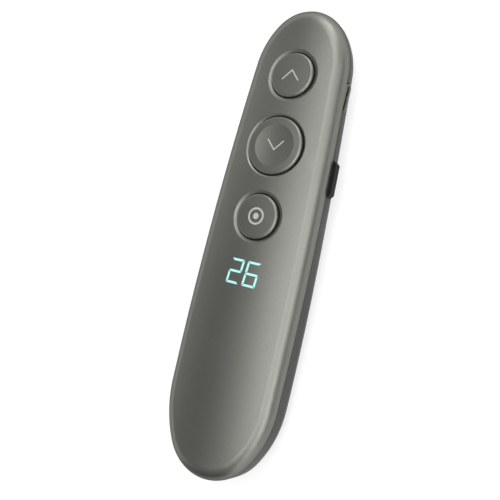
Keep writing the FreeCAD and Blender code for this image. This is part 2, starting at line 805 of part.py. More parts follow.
def lower_shell():
    """Painted tray with the board posts, the screw bosses, the receiver bay and the side openings."""
    hull = hull_form("lower", "0", "0", SEAM, "size.nose_bilge", "size.tail_bilge", "size.seam_chamfer")
    inside = hull_form("lower_inside", "size.shell_wall", "size.shell_wall", f"({SEAM} + size.overrun)",
                       "size.nose_bilge - size.shell_wall", "size.tail_bilge - size.shell_wall")
    relief = outline_body("lip_relief", "size.shell_wall - size.lip_wall - size.lip_clearance",
                          f"{SEAM} - size.lip_height - size.lip_clearance",
                          "size.lip_height + size.lip_clearance + size.overrun")[0]
    tray = cut("tray", hull, [inside, relief])
    posts = [rod(f"board_post_{i}", x, y, "0", "size.board_post_radius", "size.board_height")
             for i, (x, y) in enumerate(POST_PLACES, 1)]
    bosses = [rod(f"lower_boss_{i}", x, y, "0", "size.boss_radius", "size.boss_meet")
              for i, (x, y) in enumerate(SCREW_PLACES, 1)]
    bay = block("bay_walls", "0", BAY_Y, "0", "size.bay_width + 2 * size.bay_wall",
                "size.bay_length + 2 * size.bay_wall", "size.bay_depth + size.bay_wall")
    scoop = rod("scoop_walls", "0", BAY_NOSE, "0", "size.scoop_radius + size.bay_wall",
                "size.scoop_depth + size.bay_wall")
    blanks = fuse("tray_blanks", posts + bosses + [bay, scoop])
    fittings = common("tray_fittings", [blanks, hull])
    below = "-size.overrun"
    openings = [
        block("bay_space", "0", BAY_Y, below, "size.bay_width", "size.bay_length",
              "size.bay_depth + size.overrun"),
        rod("scoop_space", "0", BAY_NOSE, below, "size.scoop_radius", "size.scoop_depth + size.overrun"),
        port_window("port_window"),
        switch_window("switch_window"),
    ]
    for i, (x, y) in enumerate(SCREW_PLACES, 1):
        openings.append(rod(f"case_recess_{i}", x, y, below,
                            "size.case_screw_head_radius + 2 * size.screw_clearance",
                            "size.screw_recess + size.overrun"))
        openings.append(rod(f"case_hole_{i}", x, y, "0", CASE_HOLE, "size.boss_meet + size.overrun"))
    tip = f"{BOARD_TOP} - size.board_screw_length - size.screw_clearance"
    for i, (x, y) in enumerate(POST_PLACES, 1):
        openings.append(rod(f"post_hole_{i}", x, y, tip, BOARD_HOLE, "size.board_screw_length"))
    keep(cut("lower_shell", join("tray_whole", tray, [fittings]), openings))


# Buttons

def turned_body(name, profile, y):
    """A body turned about its upright axis, from radius and height pairs that start and end on it.

    The last pair is the apex of a dome, which starts at the pair before it.
    """
    body = doc.addObject("PartDesign::Body", name)
    sketch = sketch_on(body, f"{name}_profile", "XZ_Plane")
    points = [Vector(number(r), number(z), 0) for r, z in profile]
    edges = [Part.LineSegment(a, b) for a, b in zip(points, points[1:] + points[:1])]
    rim, apex = points[-2:]
    dome_radius = number("size.cap_dome_radius")
    centre = apex - Vector(0, dome_radius, 0)
    start = math.atan2(rim.y - centre.y, rim.x)
    edges[-2] = Part.ArcOfCircle(Part.Circle(centre, UP, dome_radius), start, math.pi / 2)
    lines = [sketch.addGeometry(edge, False) for edge in edges]
    rule = Sketcher.Constraint
    bound(sketch, "dome_radius", rule("Radius", lines[-2], dome_radius), "size.cap_dome_radius")
    for line, following in zip(lines, lines[1:] + lines[:1]):
        sketch.addConstraint(rule("Coincident", line, 2, following, 1))
    for line, point, (r, z) in zip(lines, points, profile):
        if r == "0":
            sketch.addConstraint(rule("PointOnObject", line, 1, -2))
        else:
            bound(sketch, f"radius_{line}", rule("DistanceX", -1, 1, line, 1, point.x), r)
        bound(sketch, f"height_{line}", rule("DistanceY", -1, 1, line, 1, point.y), z)
    turn = body.newObject("PartDesign::Revolution", f"{name}_turn")
    turn.Profile = sketch
    turn.ReferenceAxis = (sketch, ["V_Axis"])
    body.setExpression("Placement.Base.y", y)
    doc.recompute()
    return body, turn


def dome_drop(radius):
    """How far a cap's dome has fallen at a distance from its apex, as an expression."""
    dome = "size.cap_dome_radius"
    return f"({dome} - sqrt({dome} * {dome} - {radius} * {radius}))"


def cap_blank(name, y, radius, rise):
    """A domed round cap with the flange that keeps it in its well and the post that meets the plunger."""
    top = f"({crown_at(y)} + {rise})"
    rim = f"({top} - {dome_drop(radius)})"
    flange = f"{radius} + size.flange_overlap"
    profile = [("0", PLUNGER_TOP), ("size.post_radius", PLUNGER_TOP), ("size.post_radius", FLANGE_BASE),
               (flange, FLANGE_BASE), (flange, COLLAR_BASE), (radius, COLLAR_BASE), (radius, rim),
               ("0", top)]
    body, turn = turned_body(f"{name}_cap", profile, y)
    dress(body, "Fillet", f"{name}_rim", turn, lambda edge: lies_at(edge, number(rim)),
          Radius="size.cap_fillet")
    doc.recompute()
    return body, top


def chevron(name, y, base, height, points_up):
    """An upright prism of an arrowhead drawn with a constant stroke."""
    half = number("size.chevron_width / 2")
    rise = number("size.chevron_height")
    stroke = number("size.chevron_stroke")
    lean = math.atan2(rise, half)
    tip = rise / 2
    inset_x = stroke * math.sin(lean)
    inset_y = stroke * math.cos(lean)
    outline = [(-half, -tip), (0, tip), (half, -tip), (half - inset_x, -tip - inset_y),
               (0, tip - stroke / math.cos(lean)), (inset_x - half, -tip - inset_y)]
    sign = 1 if points_up else -1
    points = [Vector(x, number(y) + sign * dy, number(base)) for x, dy in outline]
    return shaped(name, prism(points, number(height)))


def ring_and_dot(name, y, base, height):
    circle = ring(f"{name}_circle", "0", y, base, "size.ring_radius", "size.ring_radius - size.ring_stroke",
                  height)
    return fuse(name, [circle, rod(f"{name}_dot", "0", y, base, "size.dot_radius", height)])


def buttons():
    """Three caps with inlaid marks; the middle one is larger and dished for the thumb."""
    for name, y, radius, rise in BUTTONS:
        cap, top = cap_blank(name, y, radius, rise)
        sink = "size.icon_depth"
        if name == "next":
            bowl = doc.addObject("Part::Sphere", "dish")
            curve = "(size.dish_radius * size.dish_radius / size.dish_depth + size.dish_depth) / 2"
            depth = f"(size.dish_depth + {dome_drop('size.dish_radius')})"
            bind(bowl, Radius=curve)
            place(bowl, "0", y, f"{top} - {depth} + {curve}")
            cap = cut("next_dished_cap", cap, [bowl])
            sink = f"(size.icon_depth + {depth})"
        base = f"({top} - {sink})"
        height = f"({sink} + size.overrun)"
        if name == "spotlight":
            mark = ring_and_dot("spotlight_mark", y, base, height)
        else:
            mark = chevron(f"{name}_mark", y, base, height, name == "previous")
        keep(common(f"{name}_icon", [cap, mark]))
        keep(cut(f"{name}_button", cap, [mark]))
        keep(rod(f"{name}_plunger", "0", y, f"{BOARD_TOP} + size.tact_height - size.plunger_engagement",
                 "size.plunger_radius", "size.plunger_height - size.tact_height + size.plunger_engagement"))


def tact_switches():
    housings = []
    for name, y, radius, rise in BUTTONS:
        well = rod(f"{name}_tact_well", "0", y,
                   f"{BOARD_TOP} + size.tact_height - size.plunger_engagement - size.button_travel"
                   " - size.plunger_clearance", "size.plunger_radius + size.plunger_clearance",
                   "size.plunger_engagement + size.button_travel + size.overrun")
        housings.append(cut(f"{name}_tact", block(f"{name}_tact_block", "0", y, BOARD_TOP, "size.tact_side",
                                                  "size.tact_side", "size.tact_height"), [well]))
    keep(fuse("tact_switches", housings))


# Board and what is soldered to it

def main_board():
    sheet_body = outline_body("board_sheet", "size.board_inset", "size.board_height",
                              "size.board_thickness")[0]
    middle = f"({BOARD_NOSE} + {BOARD_TAIL}) / 2"
    span = block("board_span", "0", middle, "size.board_height - size.overrun", f"{NOSE} - {TAIL}",
                 f"{BOARD_NOSE} - {BOARD_TAIL}", "size.board_thickness + 2 * size.overrun")
    holes = [rod(f"board_hole_{i}", x, y, "size.board_height - size.overrun", BOARD_HOLE,
                 "size.board_thickness + 2 * size.overrun") for i, (x, y) in enumerate(POST_PLACES, 1)]
    keep(cut("main_board", common("board_blank", [sheet_body, span]), holes))


def board_chips():
    def chip(name, x, y, width, depth, height="size.chip_height"):
        keep(block(name, x, y, BOARD_TOP, width, depth, height))

    row = f"({NEXT_Y} + size.controller_gap)"
    chip("controller_chip", "-size.controller_x", row, "size.controller_side", "size.controller_side")
    chip("crystal", "size.crystal_x", row, "size.crystal_length", "size.crystal_width")
    chip("motion_sensor", "-size.motion_sensor_x", "size.spotlight_y + size.motion_sensor_gap",
         "size.chip_side", "size.chip_side")
    chip("charger_chip", "size.charger_x", f"{NEXT_Y} + size.charger_gap", "size.chip_side",
         "size.chip_side")
    chip("antenna", "0", f"{BOARD_NOSE} - size.antenna_inset", "size.antenna_length",
         "size.antenna_width")
    keep(rod("vibration_motor", "size.motor_x", f"{BOX_TAIL} - size.motor_gap", BOARD_TOP,
             "size.motor_radius", "size.motor_height"))
    passives = []
    for across_share, along_share in PASSIVE_SHARES:
        for step in (-1, 0, 1):
            passives.append(block(f"passive_{len(passives) + 1}",
                                  f"{across_share} * size.nose_tip_radius + {step} * size.passive_pitch",
                                  f"{along_share} * {BOARD_NOSE}", BOARD_TOP, "size.passive_length",
                                  "size.passive_width", "size.passive_width"))
    keep(fuse("board_passives", passives))


# Charging port

def charging_port():
    """Metal socket shell with the insulating tongue and its contact strips inside."""
    back = "(-size.port_setback - size.port_depth)"

    def tube(name, inset, reach):
        box = doc.addObject("Part::Box", f"{name}_box")
        bind(box, Length=f"size.port_depth + 2 * ({reach})", Width=f"size.port_width - 2 * ({inset})",
             Height=f"size.port_height - 2 * ({inset})")
        place(box, f"{back} - ({reach})", f"({inset}) - size.port_width / 2", f"{BOARD_TOP} + ({inset})")
        return rounded(name, box, f"size.port_corner - ({inset})", is_across)

    outside = tube("port_outside", "0", "0")
    inside = tube("port_inside", "size.port_metal", "size.overrun")
    keep(on_wall(cut("port_shell", outside, [inside]), PORT_Y))
    fill = tube("port_fill", "size.port_metal + size.port_clearance", "0")
    base = "size.port_depth - size.tongue_length - size.tongue_recess"
    keeper = block("tongue_base_span", f"{back} + ({base}) / 2", "0", BOARD_TOP, base, "size.port_width",
                   "size.port_height")
    middle = f"({BOARD_TOP} + size.port_height / 2)"
    blade = block("tongue_blade", f"{back} + ({base}) + size.tongue_length / 2", "0",
                  f"{middle} - size.tongue_thickness / 2", "size.tongue_length", "size.tongue_width",
                  "size.tongue_thickness")
    tongue = fuse("port_tongue", [common("tongue_base", [fill, keeper]), blade])
    keep(on_wall(tongue, PORT_Y))
    strips = []
    for side in (-1, 1):
        for index in range(CONTACTS):
            low = f"{middle} + {side} * (size.tongue_thickness + size.contact_thickness) / 2"
            strips.append(block(f"contact_{len(strips) + 1}", f"{back} + ({base}) + size.tongue_length / 2",
                                f"({index} - ({CONTACTS} - 1) / 2) * size.contact_pitch",
                                f"{low} - size.contact_thickness / 2", "size.contact_length",
                                "size.contact_width", "size.contact_thickness"))
    keep(on_wall(fuse("port_contacts", strips), PORT_Y))


# Side slide switch

def side_switch():
    """Knob outside the wall, its slider inside, and the can that guides it."""
    knob_base = number(f"{SEAM} - size.knob_drop - size.knob_height")
    near = number("size.knob_gap")
    far = number("size.knob_rise")
    half = number("size.knob_length / 2")
    slope = number("size.knob_slope")
    corners = [(near, -half), (far, slope - half), (far, half - slope), (near, half)]
    points = [Vector(x, y, knob_base) for x, y in corners]
    blank = shaped("knob_blank", prism(points, number("size.knob_height")))
    pad = rounded("knob_pad", blank, "size.knob_fillet", lambda edge: edge.CenterOfMass.x > near + EPSILON)
    stem = block("knob_stem", "(size.knob_gap - size.stem_length) / 2", "0", STEM_BASE,
                 "size.knob_gap + size.stem_length", "size.stem_width", "size.stem_height")
    keep(on_wall(fuse("side_switch_knob", [pad, stem]), SWITCH_Y))
    shift = "-size.switch_travel / 2"
    mouth = "-size.can_setback"
    rear = "(-size.can_setback - size.can_depth)"
    can = block("can_block", f"({mouth} + {rear}) / 2", shift, BOARD_TOP, "size.can_depth",
                "size.can_length", "size.can_height")
    room = "size.slider_length + size.switch_travel + 2 * size.stem_clearance"
    depth = "size.can_depth - size.can_wall + size.overrun"
    space = block("can_space", f"{rear} + size.can_wall + ({depth}) / 2", shift,
                  f"{BOARD_TOP} + size.can_wall", depth, room, "size.can_height - 2 * size.can_wall")
    keep(on_wall(cut("slide_switch_can", can, [space]), SWITCH_Y))
    slider = block("slider_block", f"{rear} + size.can_wall + size.stem_clearance + size.slider_depth / 2",
                   "0", f"{BOARD_TOP} + size.can_wall + size.stem_clearance / 2", "size.slider_depth",
                   "size.slider_length", "size.can_height - 2 * size.can_wall - size.stem_clearance")
    start = f"({rear} + size.can_wall + size.stem_clearance)"
    lever = block("slider_lever", f"({start} - size.stem_length) / 2", "0", STEM_BASE,
                  f"-size.stem_length - {start}", "size.lever_width", "size.stem_height")
    keep(on_wall(fuse("slide_switch_slider", [slider, lever]), SWITCH_Y))


# Battery

def battery():
    middle = f"({BATTERY_TAIL} + size.battery_length / 2)"
    keep(block("battery_pad", "0", middle, "size.shell_wall", "size.pad_width",
               "size.battery_length - 2 * size.battery_fillet", "size.pad_thickness"))
    blank = block("battery_blank", "0", middle, "size.shell_wall + size.pad_thickness", "size.battery_width",
                  "size.battery_length", "size.battery_thickness")
    keep(rounded("battery_cell", blank, "size.battery_fillet", runs_along_y))
    low = number("size.shell_wall + size.pad_thickness + size.battery_thickness / 2")
    high = number(f"{BOARD_TOP} + size.plug_height / 2")
    start_y = number(BATTERY_TAIL)
    turn_y = number(f"{BATTERY_TAIL} - size.lead_overhang")
    end_y = number(f"{PLUG_Y} - size.plug_depth / 2")
    radius = (high - low) / 2
    leads = []
    for side in (-1, 1):
        x = side * number("size.lead_spacing / 2")
        path = Part.Wire([
            Part.LineSegment(Vector(x, start_y, low), Vector(x, turn_y, low)).toShape(),
            Part.Arc(Vector(x, turn_y, low), Vector(x, turn_y - radius, low + radius),
                     Vector(x, turn_y, high)).toShape(),
            Part.LineSegment(Vector(x, turn_y, high), Vector(x, end_y, high)).toShape(),
        ])
        circle = Part.Circle(Vector(x, start_y, low), Vector(0, 1, 0), number("size.lead_radius"))
        leads.append(path.makePipe(Part.Face(Part.Wire([circle.toShape()]))))
    keep(shaped("battery_leads", Part.makeCompound(leads)))
    keep(block("battery_connector", "0", PLUG_Y, BOARD_TOP, "size.plug_width", "size.plug_depth",
               "size.plug_height"))


# Fasteners

def screw(name, x, y, seat, kind, upside_down):
    """A pan-head screw with a cross recess, seated under its head at a height."""
    radius = f"size.{kind}_radius"
    length = f"size.{kind}_length"
    head = f"size.{kind}_head_height"
    head_base = f"{seat} - {head}" if upside_down else seat
    shank_base = seat if upside_down else f"{seat} - {length}"
    pieces = [rod(f"{name}_head", x, y, head_base, f"size.{kind}_head_radius", head),
              rod(f"{name}_shank", x, y, shank_base, radius, length)]
    face = head_base if upside_down else f"{seat} + {head}"
    slot_base = f"{face} - size.overrun" if upside_down else f"{face} - size.screw_slot_depth"
    reach = f"2 * {radius}"
    height = "size.screw_slot_depth + size.overrun"
    slots = [block(f"{name}_slot_a", x, y, slot_base, reach, "size.screw_slot_width", height),
             block(f"{name}_slot_b", x, y, slot_base, "size.screw_slot_width", reach, height)]
    return cut(name, fuse(f"{name}_blank", pieces), slots)


def screws():
    keep(fuse("case_screws", [screw(f"case_screw_{i}", x, y, "size.screw_recess", "case_screw", True)
                              for i, (x, y) in enumerate(SCREW_PLACES, 1)]))
    keep(fuse("board_screws", [screw(f"board_screw_{i}", x, y, BOARD_TOP, "board_screw", False)
                               for i, (x, y) in enumerate(POST_PLACES, 1)]))


# Stowed receiver

def receiver():
    """Radio receiver lying in its bay: a moulded grip, a metal plug and the plug's tongue."""
    height = "(size.bay_depth - size.receiver_sink - size.receiver_clearance)"
    tail = f"({BAY_NOSE} - size.bay_length + size.receiver_clearance)"
    blank = block("grip_blank", "0", f"{tail} + size.receiver_grip_length / 2", "size.receiver_sink",
                  "size.bay_width - 2 * size.receiver_clearance", "size.receiver_grip_length", height)
    front = f"({tail} + size.receiver_grip_length)"

    def soft_edge(edge):
        return edge.CenterOfMass.y < number(front) - EPSILON

    keep(rounded("receiver_grip", blank, "size.receiver_fillet", soft_edge))
    middle = f"(size.receiver_sink + {height} / 2)"
    base = f"{middle} - size.plug_shell_height / 2"
    outside = block("plug_outside", "0", f"{front} + size.plug_shell_length / 2", base,
                    "size.plug_shell_width", "size.plug_shell_length", "size.plug_shell_height")
    room_width = "size.plug_shell_width - 2 * size.plug_shell_metal"
    inside = block("plug_inside", "0", f"{front} + size.plug_shell_length / 2 + size.overrun / 2",
                   f"{base} + size.plug_shell_metal", room_width, "size.plug_shell_length + size.overrun",
                   "size.plug_shell_height - 2 * size.plug_shell_metal")
    edged = rounded("plug_rounded", outside, "size.plug_shell_metal", runs_along_y)
    keep(cut("receiver_plug", edged, [inside]))
    length = "size.plug_shell_length - size.plug_shell_metal"
    keep(block("receiver_tongue", "0", f"{front} + ({length}) / 2",
               f"{middle} + size.plug_shell_height / 2 - size.plug_shell_metal - size.plug_tongue_thickness",
               room_width, length, "size.plug_tongue_thickness"))
    keep(rod("bay_magnet", "0", f"{front} + size.plug_shell_length / 2", "size.bay_depth + size.bay_wall",
             "size.magnet_radius", "size.magnet_thickness"))


def write_parts():
    """Stop at any failed object or bad shape; otherwise write each sub-part to its own file."""
    doc.recompute()
    failed = [item.Name for item in doc.Objects if {"Invalid", "Error"} & set(item.State)]
    if failed:
        raise RuntimeError(f"objects failed: {failed}")
    for piece in parts:
        if piece.Shape.isNull() or not piece.Shape.isValid() or piece.Shape.Volume <= 0:
            raise RuntimeError(f"bad shape: {piece.Label}")
    os.makedirs("parts", exist_ok=True)
    for piece in parts:
        piece.Shape.exportStep(f"parts/{piece.Label}.step")
    print(len(parts), "sub-parts written")


fill_sheet()
upper_shell()
lower_shell()
buttons()
tact_switches()
main_board()
light_box()
display_leds()
board_chips()
charging_port()
side_switch()
battery()
screws()
receiver()
write_parts()
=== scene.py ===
# %% [markdown]
# # A clicker for turning slides
# This lesson dresses a small hand-held remote in Blender. Its solids come from a CAD model: two
# half-shells, three round keys, a lit number, a black side switch, a charging port and a radio
# receiver stowed underneath. The CAD solids are loaded first and never moved. Blender gives them
# their finishes, makes the small things that the solids only hint at, and lights them.

# %% Load the solids
import math

import bmesh
import bpy
from mathutils import Matrix, Vector


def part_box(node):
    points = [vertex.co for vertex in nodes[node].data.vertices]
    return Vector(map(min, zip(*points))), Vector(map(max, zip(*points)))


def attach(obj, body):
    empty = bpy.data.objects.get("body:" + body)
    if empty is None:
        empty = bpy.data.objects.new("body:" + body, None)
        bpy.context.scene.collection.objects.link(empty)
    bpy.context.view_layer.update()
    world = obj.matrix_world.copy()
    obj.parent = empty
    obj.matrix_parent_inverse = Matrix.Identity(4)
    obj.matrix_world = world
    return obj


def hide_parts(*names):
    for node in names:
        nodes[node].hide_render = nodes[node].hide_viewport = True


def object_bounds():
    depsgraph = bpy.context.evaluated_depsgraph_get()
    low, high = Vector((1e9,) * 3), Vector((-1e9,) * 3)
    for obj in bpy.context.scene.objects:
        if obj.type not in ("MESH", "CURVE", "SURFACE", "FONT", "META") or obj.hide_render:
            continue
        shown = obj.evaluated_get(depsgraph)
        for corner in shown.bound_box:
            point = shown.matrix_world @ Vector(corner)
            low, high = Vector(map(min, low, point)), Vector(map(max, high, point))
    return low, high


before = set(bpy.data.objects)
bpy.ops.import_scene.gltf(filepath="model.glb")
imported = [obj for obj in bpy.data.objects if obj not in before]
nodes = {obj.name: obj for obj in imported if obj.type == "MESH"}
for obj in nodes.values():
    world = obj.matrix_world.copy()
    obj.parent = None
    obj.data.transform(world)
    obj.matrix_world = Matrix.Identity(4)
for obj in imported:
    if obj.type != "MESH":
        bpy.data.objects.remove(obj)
cad_low, cad_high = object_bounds()
MM = 0.001
print("solids:", len(nodes), "box in mm:", [round(side / MM, 2) for side in cad_high - cad_low])

# %% [markdown]
# ## The camera
# The picture looks down on the clicker from its right side, with its nose at the top. The camera
# could be turned by eye until the outline fits. Here its place and its turn were worked out from the
# rims of the keys and from the outline, so they are written down as measured.

# %% Camera
PICTURE_SIDE = 500
FOCAL_PIXELS = 728.71
SENSOR_SIDE = 36.0
CAMERA_PLACE = Vector((109.67, -9.06, 213.56)) * MM
CAMERA_TURN = (9.055, 28.053, 15.512)

camera_data = bpy.data.cameras.new("camera")
camera_data.sensor_width = SENSOR_SIDE
camera_data.lens = FOCAL_PIXELS / PICTURE_SIDE * SENSOR_SIDE
camera_data.clip_start = 10 * MM
camera = bpy.data.objects.new("camera", camera_data)
bpy.context.scene.collection.objects.link(camera)
camera.location = CAMERA_PLACE
camera.rotation_euler = [math.radians(angle) for angle in CAMERA_TURN]
bpy.context.scene.camera = camera
bpy.context.scene.view_settings.view_transform = "Standard"
print("lens in mm:", round(camera_data.lens, 2))

# %% [markdown]
# ## Building node trees from a script
# Every finish below is a tree of shader nodes, and every row of small parts is a tree of geometry
# nodes. A few helpers keep the trees short to write: one adds a node with its settings and inputs,
# one makes a group with named sockets, and one turns a colour from the screen into shader values.


# %% Helpers for node trees
def add_node(tree, kind, inputs=None, **settings):
    """Adds a node. An input takes a plain value, or another node's output socket."""
    node = tree.nodes.new(kind)
    for name, value in settings.items():
        setattr(node, name, value)
    for name, value in (inputs or {}).items():
        if isinstance(value, bpy.types.NodeSocket):
            tree.links.new(value, node.inputs[name])
        else:
            node.inputs[name].default_value = value
    return node


def new_group(name, kind, inputs, outputs):
    """A node group with named sockets, and its two end nodes."""
    group = bpy.data.node_groups.new(name, kind)
    for direction, sockets in (("INPUT", inputs), ("OUTPUT", outputs)):
        for socket_name, socket_kind, value in sockets:
            socket = group.interface.new_socket(name=socket_name, in_out=direction, socket_type=socket_kind)
            if value is not None:
                socket.default_value = value
    return group, group.nodes.new("NodeGroupInput"), group.nodes.new("NodeGroupOutput")


def new_material(name):
    """A material with an empty tree and its output node."""
    material = bpy.data.materials.new(name)
    material.use_nodes = True
    tree = material.node_tree
    tree.nodes.clear()
    return material, tree, tree.nodes.new("ShaderNodeOutputMaterial")


def add_surface(tree, output, inputs):
    """A Principled surface, linked to the output of its material."""
    surface = add_node(tree, "ShaderNodeBsdfPrincipled", inputs)
    tree.links.new(surface.outputs[0], output.inputs["Surface"])
    return surface


def linear(red, green, blue):
    """A colour as a screen shows it, from 0 to 255, turned into the values that shaders use."""
    shares = [value / 255 for value in (red, green, blue)]
    # The two branches are the screen's own curve: straight near black, a power above
    return [share / 12.92 if share <= 0.04045 else ((share + 0.055) / 1.055) ** 2.4 for share in shares] + [1]


# The Mix node has one set of sockets for each kind of value, and these are the ones for colours
MIX_SHARE, MIX_FIRST, MIX_SECOND, MIX_RESULT = 0, 6, 7, 2


def mix_colours(tree, share, first, second):
    """The first colour where the share is zero, the second where it is one."""
    node = add_node(tree, "ShaderNodeMix", {MIX_SHARE: share, MIX_FIRST: first, MIX_SECOND: second},
                    data_type="RGBA")
    return node.outputs[MIX_RESULT]


FLOAT = "NodeSocketFloat"
VECTOR = "NodeSocketVector"
print("a mid grey as a shader value:", [round(value, 3) for value in linear(105, 106, 100)])

# %% [markdown]
# ## Floor and backdrop
# A product picture is taken in a white cove: a floor that curves up into a wall, so no edge shows.
# The cove could be a bent plane, but the clicker is looked at from all sides, so here it is a round
# bowl. Its white comes from its own material and not from more light: it adds a little of its own
# white where a camera, a mirror or a clear part sees it, and keeps the soft shadow of the clicker.
# Seen from behind it is clear, so that the underside can be looked at through the floor.

# %% Cove
COVE_RADIUS = 1.2
COVE_BEND = 0.5
COVE_STEPS = 96
BEND_STEPS = 16
FLOOR_SHARES = (1 / 3, 2 / 3)


def cove_profile():
    """Points of the cove from the middle of its floor to the top of its bend."""
    flat = COVE_RADIUS - COVE_BEND
    points = [(flat * share, 0) for share in FLOOR_SHARES]
    for step in range(BEND_STEPS + 1):
        angle = math.pi / 2 * step / BEND_STEPS
        points.append((flat + COVE_BEND * math.sin(angle), COVE_BEND * (1 - math.cos(angle))))
    return points


def ring_of(form, radius, height, count):
    """A level ring of corners round the vertical axis."""
    turns = [2 * math.pi * step / count for step in range(count)]
    return [form.verts.new((radius * math.cos(turn), radius * math.sin(turn), height)) for turn in turns]


def join_rings(form, rings):
    """Faces between each ring and the next, all the way round."""
    for ring, following in zip(rings, rings[1:]):
        for step in range(len(ring)):
            after = (step + 1) % len(ring)
            form.faces.new((ring[step], ring[after], following[after], following[step]))


def add_object(name, mesh):
    """Puts a mesh into the scene as an object at the origin."""
    thing = bpy.data.objects.new(name, mesh)
    bpy.context.scene.collection.objects.link(thing)
    return thing


def keep_form(form, name):
    """Turns a form into an object at the origin."""
    mesh = bpy.data.meshes.new(name)
    form.to_mesh(mesh)
    form.free()
    return add_object(name, mesh)


def build_cove(floor_height):
    """A round floor whose edge rises into a wall."""
    form = bmesh.new()
    rings = [ring_of(form, radius, floor_height + rise, COVE_STEPS) for radius, rise in cove_profile()]
    form.faces.new(rings[0])
    join_rings(form, rings[::-1])
    for face in form.faces:
        face.smooth = True
    return keep_form(form, "cove")


cove = build_cove(cad_low.z)
print("cove radius in metres:", COVE_RADIUS)

# %% Cove white
WHITE_NEAR = 0.6
WHITE_FAR = 0.75
NEAR_RADIUS = 0.1
FAR_RADIUS = 0.5
COVE_PAINT = (0.45, 0.45, 0.45, 1)
COVE_ROUGHNESS = 0.9
DULL = 0.1


def seen_directly(tree):
    """One where a camera, glossy or transmission ray meets the surface, else zero."""
    path = add_node(tree, "ShaderNodeLightPath")
    either = add_node(tree, "ShaderNodeMath", {0: path.outputs["Is Camera Ray"],
                                               1: path.outputs["Is Glossy Ray"]}, operation="MAXIMUM")
    return add_node(tree, "ShaderNodeMath", {0: either.outputs[0],
                                             1: path.outputs["Is Transmission Ray"]}, operation="MAXIMUM")


cove_material, tree, output = new_material("cove_white")
place = add_node(tree, "ShaderNodeTexCoord")
radius = add_node(tree, "ShaderNodeVectorMath", {0: place.outputs["Object"]}, operation="LENGTH")
white = add_node(tree, "ShaderNodeMapRange", {"Value": radius.outputs["Value"], "From Min": NEAR_RADIUS,
                                              "From Max": FAR_RADIUS, "To Min": WHITE_NEAR,
                                              "To Max": WHITE_FAR})
own_white = add_node(tree, "ShaderNodeMath", {0: seen_directly(tree).outputs[0],
                                              1: white.outputs["Result"]}, operation="MULTIPLY")
front = add_node(tree, "ShaderNodeBsdfPrincipled",
                 {"Base Color": COVE_PAINT, "Roughness": COVE_ROUGHNESS, "Specular IOR Level": DULL,
                  "Emission Color": (1, 1, 1, 1), "Emission Strength": own_white.outputs[0]})
behind = add_node(tree, "ShaderNodeBsdfTransparent")
side = add_node(tree, "ShaderNodeNewGeometry")
surface = add_node(tree, "ShaderNodeMixShader", {0: side.outputs["Backfacing"], 1: front.outputs[0],
                                                 2: behind.outputs[0]})
tree.links.new(surface.outputs[0], output.inputs["Surface"])
cove.data.materials.append(cove_material)
print("the cove's own white:", WHITE_NEAR, "near the clicker,", WHITE_FAR, "far away")

# %% [markdown]
# ## Light
# Satin paint shows the lamps as broad soft bands. Long softboxes hang side by side over the clicker and
# give the bright band beside its right edge. More stand to the right, and a bright one past the nose
# gives the highlight at the tip. Each lamp is written as a direction, a size in degrees and how bright
# its face is, and they all stand equally far away. Blender wants watts, so the power is worked out from
# the face. The room is white near the floor and dim above, like a dark studio.

# %% Lamps
LAMP_DISTANCE = 2.5
LAMPS = [
    # name, range of its tilt to the right and of its reach to the nose in degrees, brightness of its face
    ("band", (-16, 0), (-12, 68), 1.9),
    ("ridge", (0, 16), (4, 68), 2.7),
    ("ridge_low", (0, 16), (-28, 4), 4.0),
    ("shoulder", (16, 32), (-28, 68), 1.5),
    ("side", (32, 60), (-28, 20), 2.5),
    ("side_tail", (48, 64), (-44, -12), 2.5),
    ("nose", (16, 48), (52, 68), 4.2),
    ("left_low", (-64, -48), (4, 36), 0.6),
]
MIDDLE = (cad_low + cad_high) / 2


def build_lamp(name, tilts, reaches, brightness):
    """A rectangular lamp that faces the clicker and fills a range of directions."""
    tilt, reach = (math.radians(sum(ends) / 2) for ends in (tilts, reaches))
    half_tilt, half_reach = (math.radians(ends[1] - ends[0]) / 2 for ends in (tilts, reaches))
    data = bpy.data.lights.new(name, "AREA")
    data.shape = "RECTANGLE"
    data.size = 2 * LAMP_DISTANCE * math.tan(half_tilt) * math.cos(reach)
    data.size_y = 2 * LAMP_DISTANCE * math.tan(half_reach)
    data.energy = brightness * math.pi * data.size * data.size_y
    away = Vector((math.sin(tilt) * math.cos(reach), math.sin(reach), math.cos(tilt) * math.cos(reach)))
    across = Vector((math.cos(tilt), 0, -math.sin(tilt)))
    lamp = bpy.data.objects.new(name, data)
    bpy.context.scene.collection.objects.link(lamp)
    turn = Matrix((across, away.cross(across), away)).transposed()
    lamp.matrix_world = Matrix.Translation(MIDDLE + away * LAMP_DISTANCE) @ turn.to_4x4()
    lamp.visible_camera = False
    return lamp


for row in LAMPS:
    build_lamp(*row)
print("lamps:", [row[0] for row in LAMPS])

# %% [markdown]
# ## Dark cards
# A photographer stands dark cards beside a shiny thing, to give it a dark line where it would mirror
# the white floor. Two cards do that here, one along the right side and one behind the tail. They could
# be left out and the edge painted darker, but then the line would not move with the view.

# %% Dark cards
CARD_COLOUR = linear(40, 40, 40)
NAP_SIZE = 2.5 * MM
NAP_ROUGHNESS = (0.8, 1.0)
CARDS = [
    # name, its middle on the floor, half its length and its height in metres, its turn in degrees
    ("card_right", (0.2, 0.02), 0.2, 0.06, 90),
    ("card_tail", (-0.06, -0.24), 0.14, 0.1, 0),
]


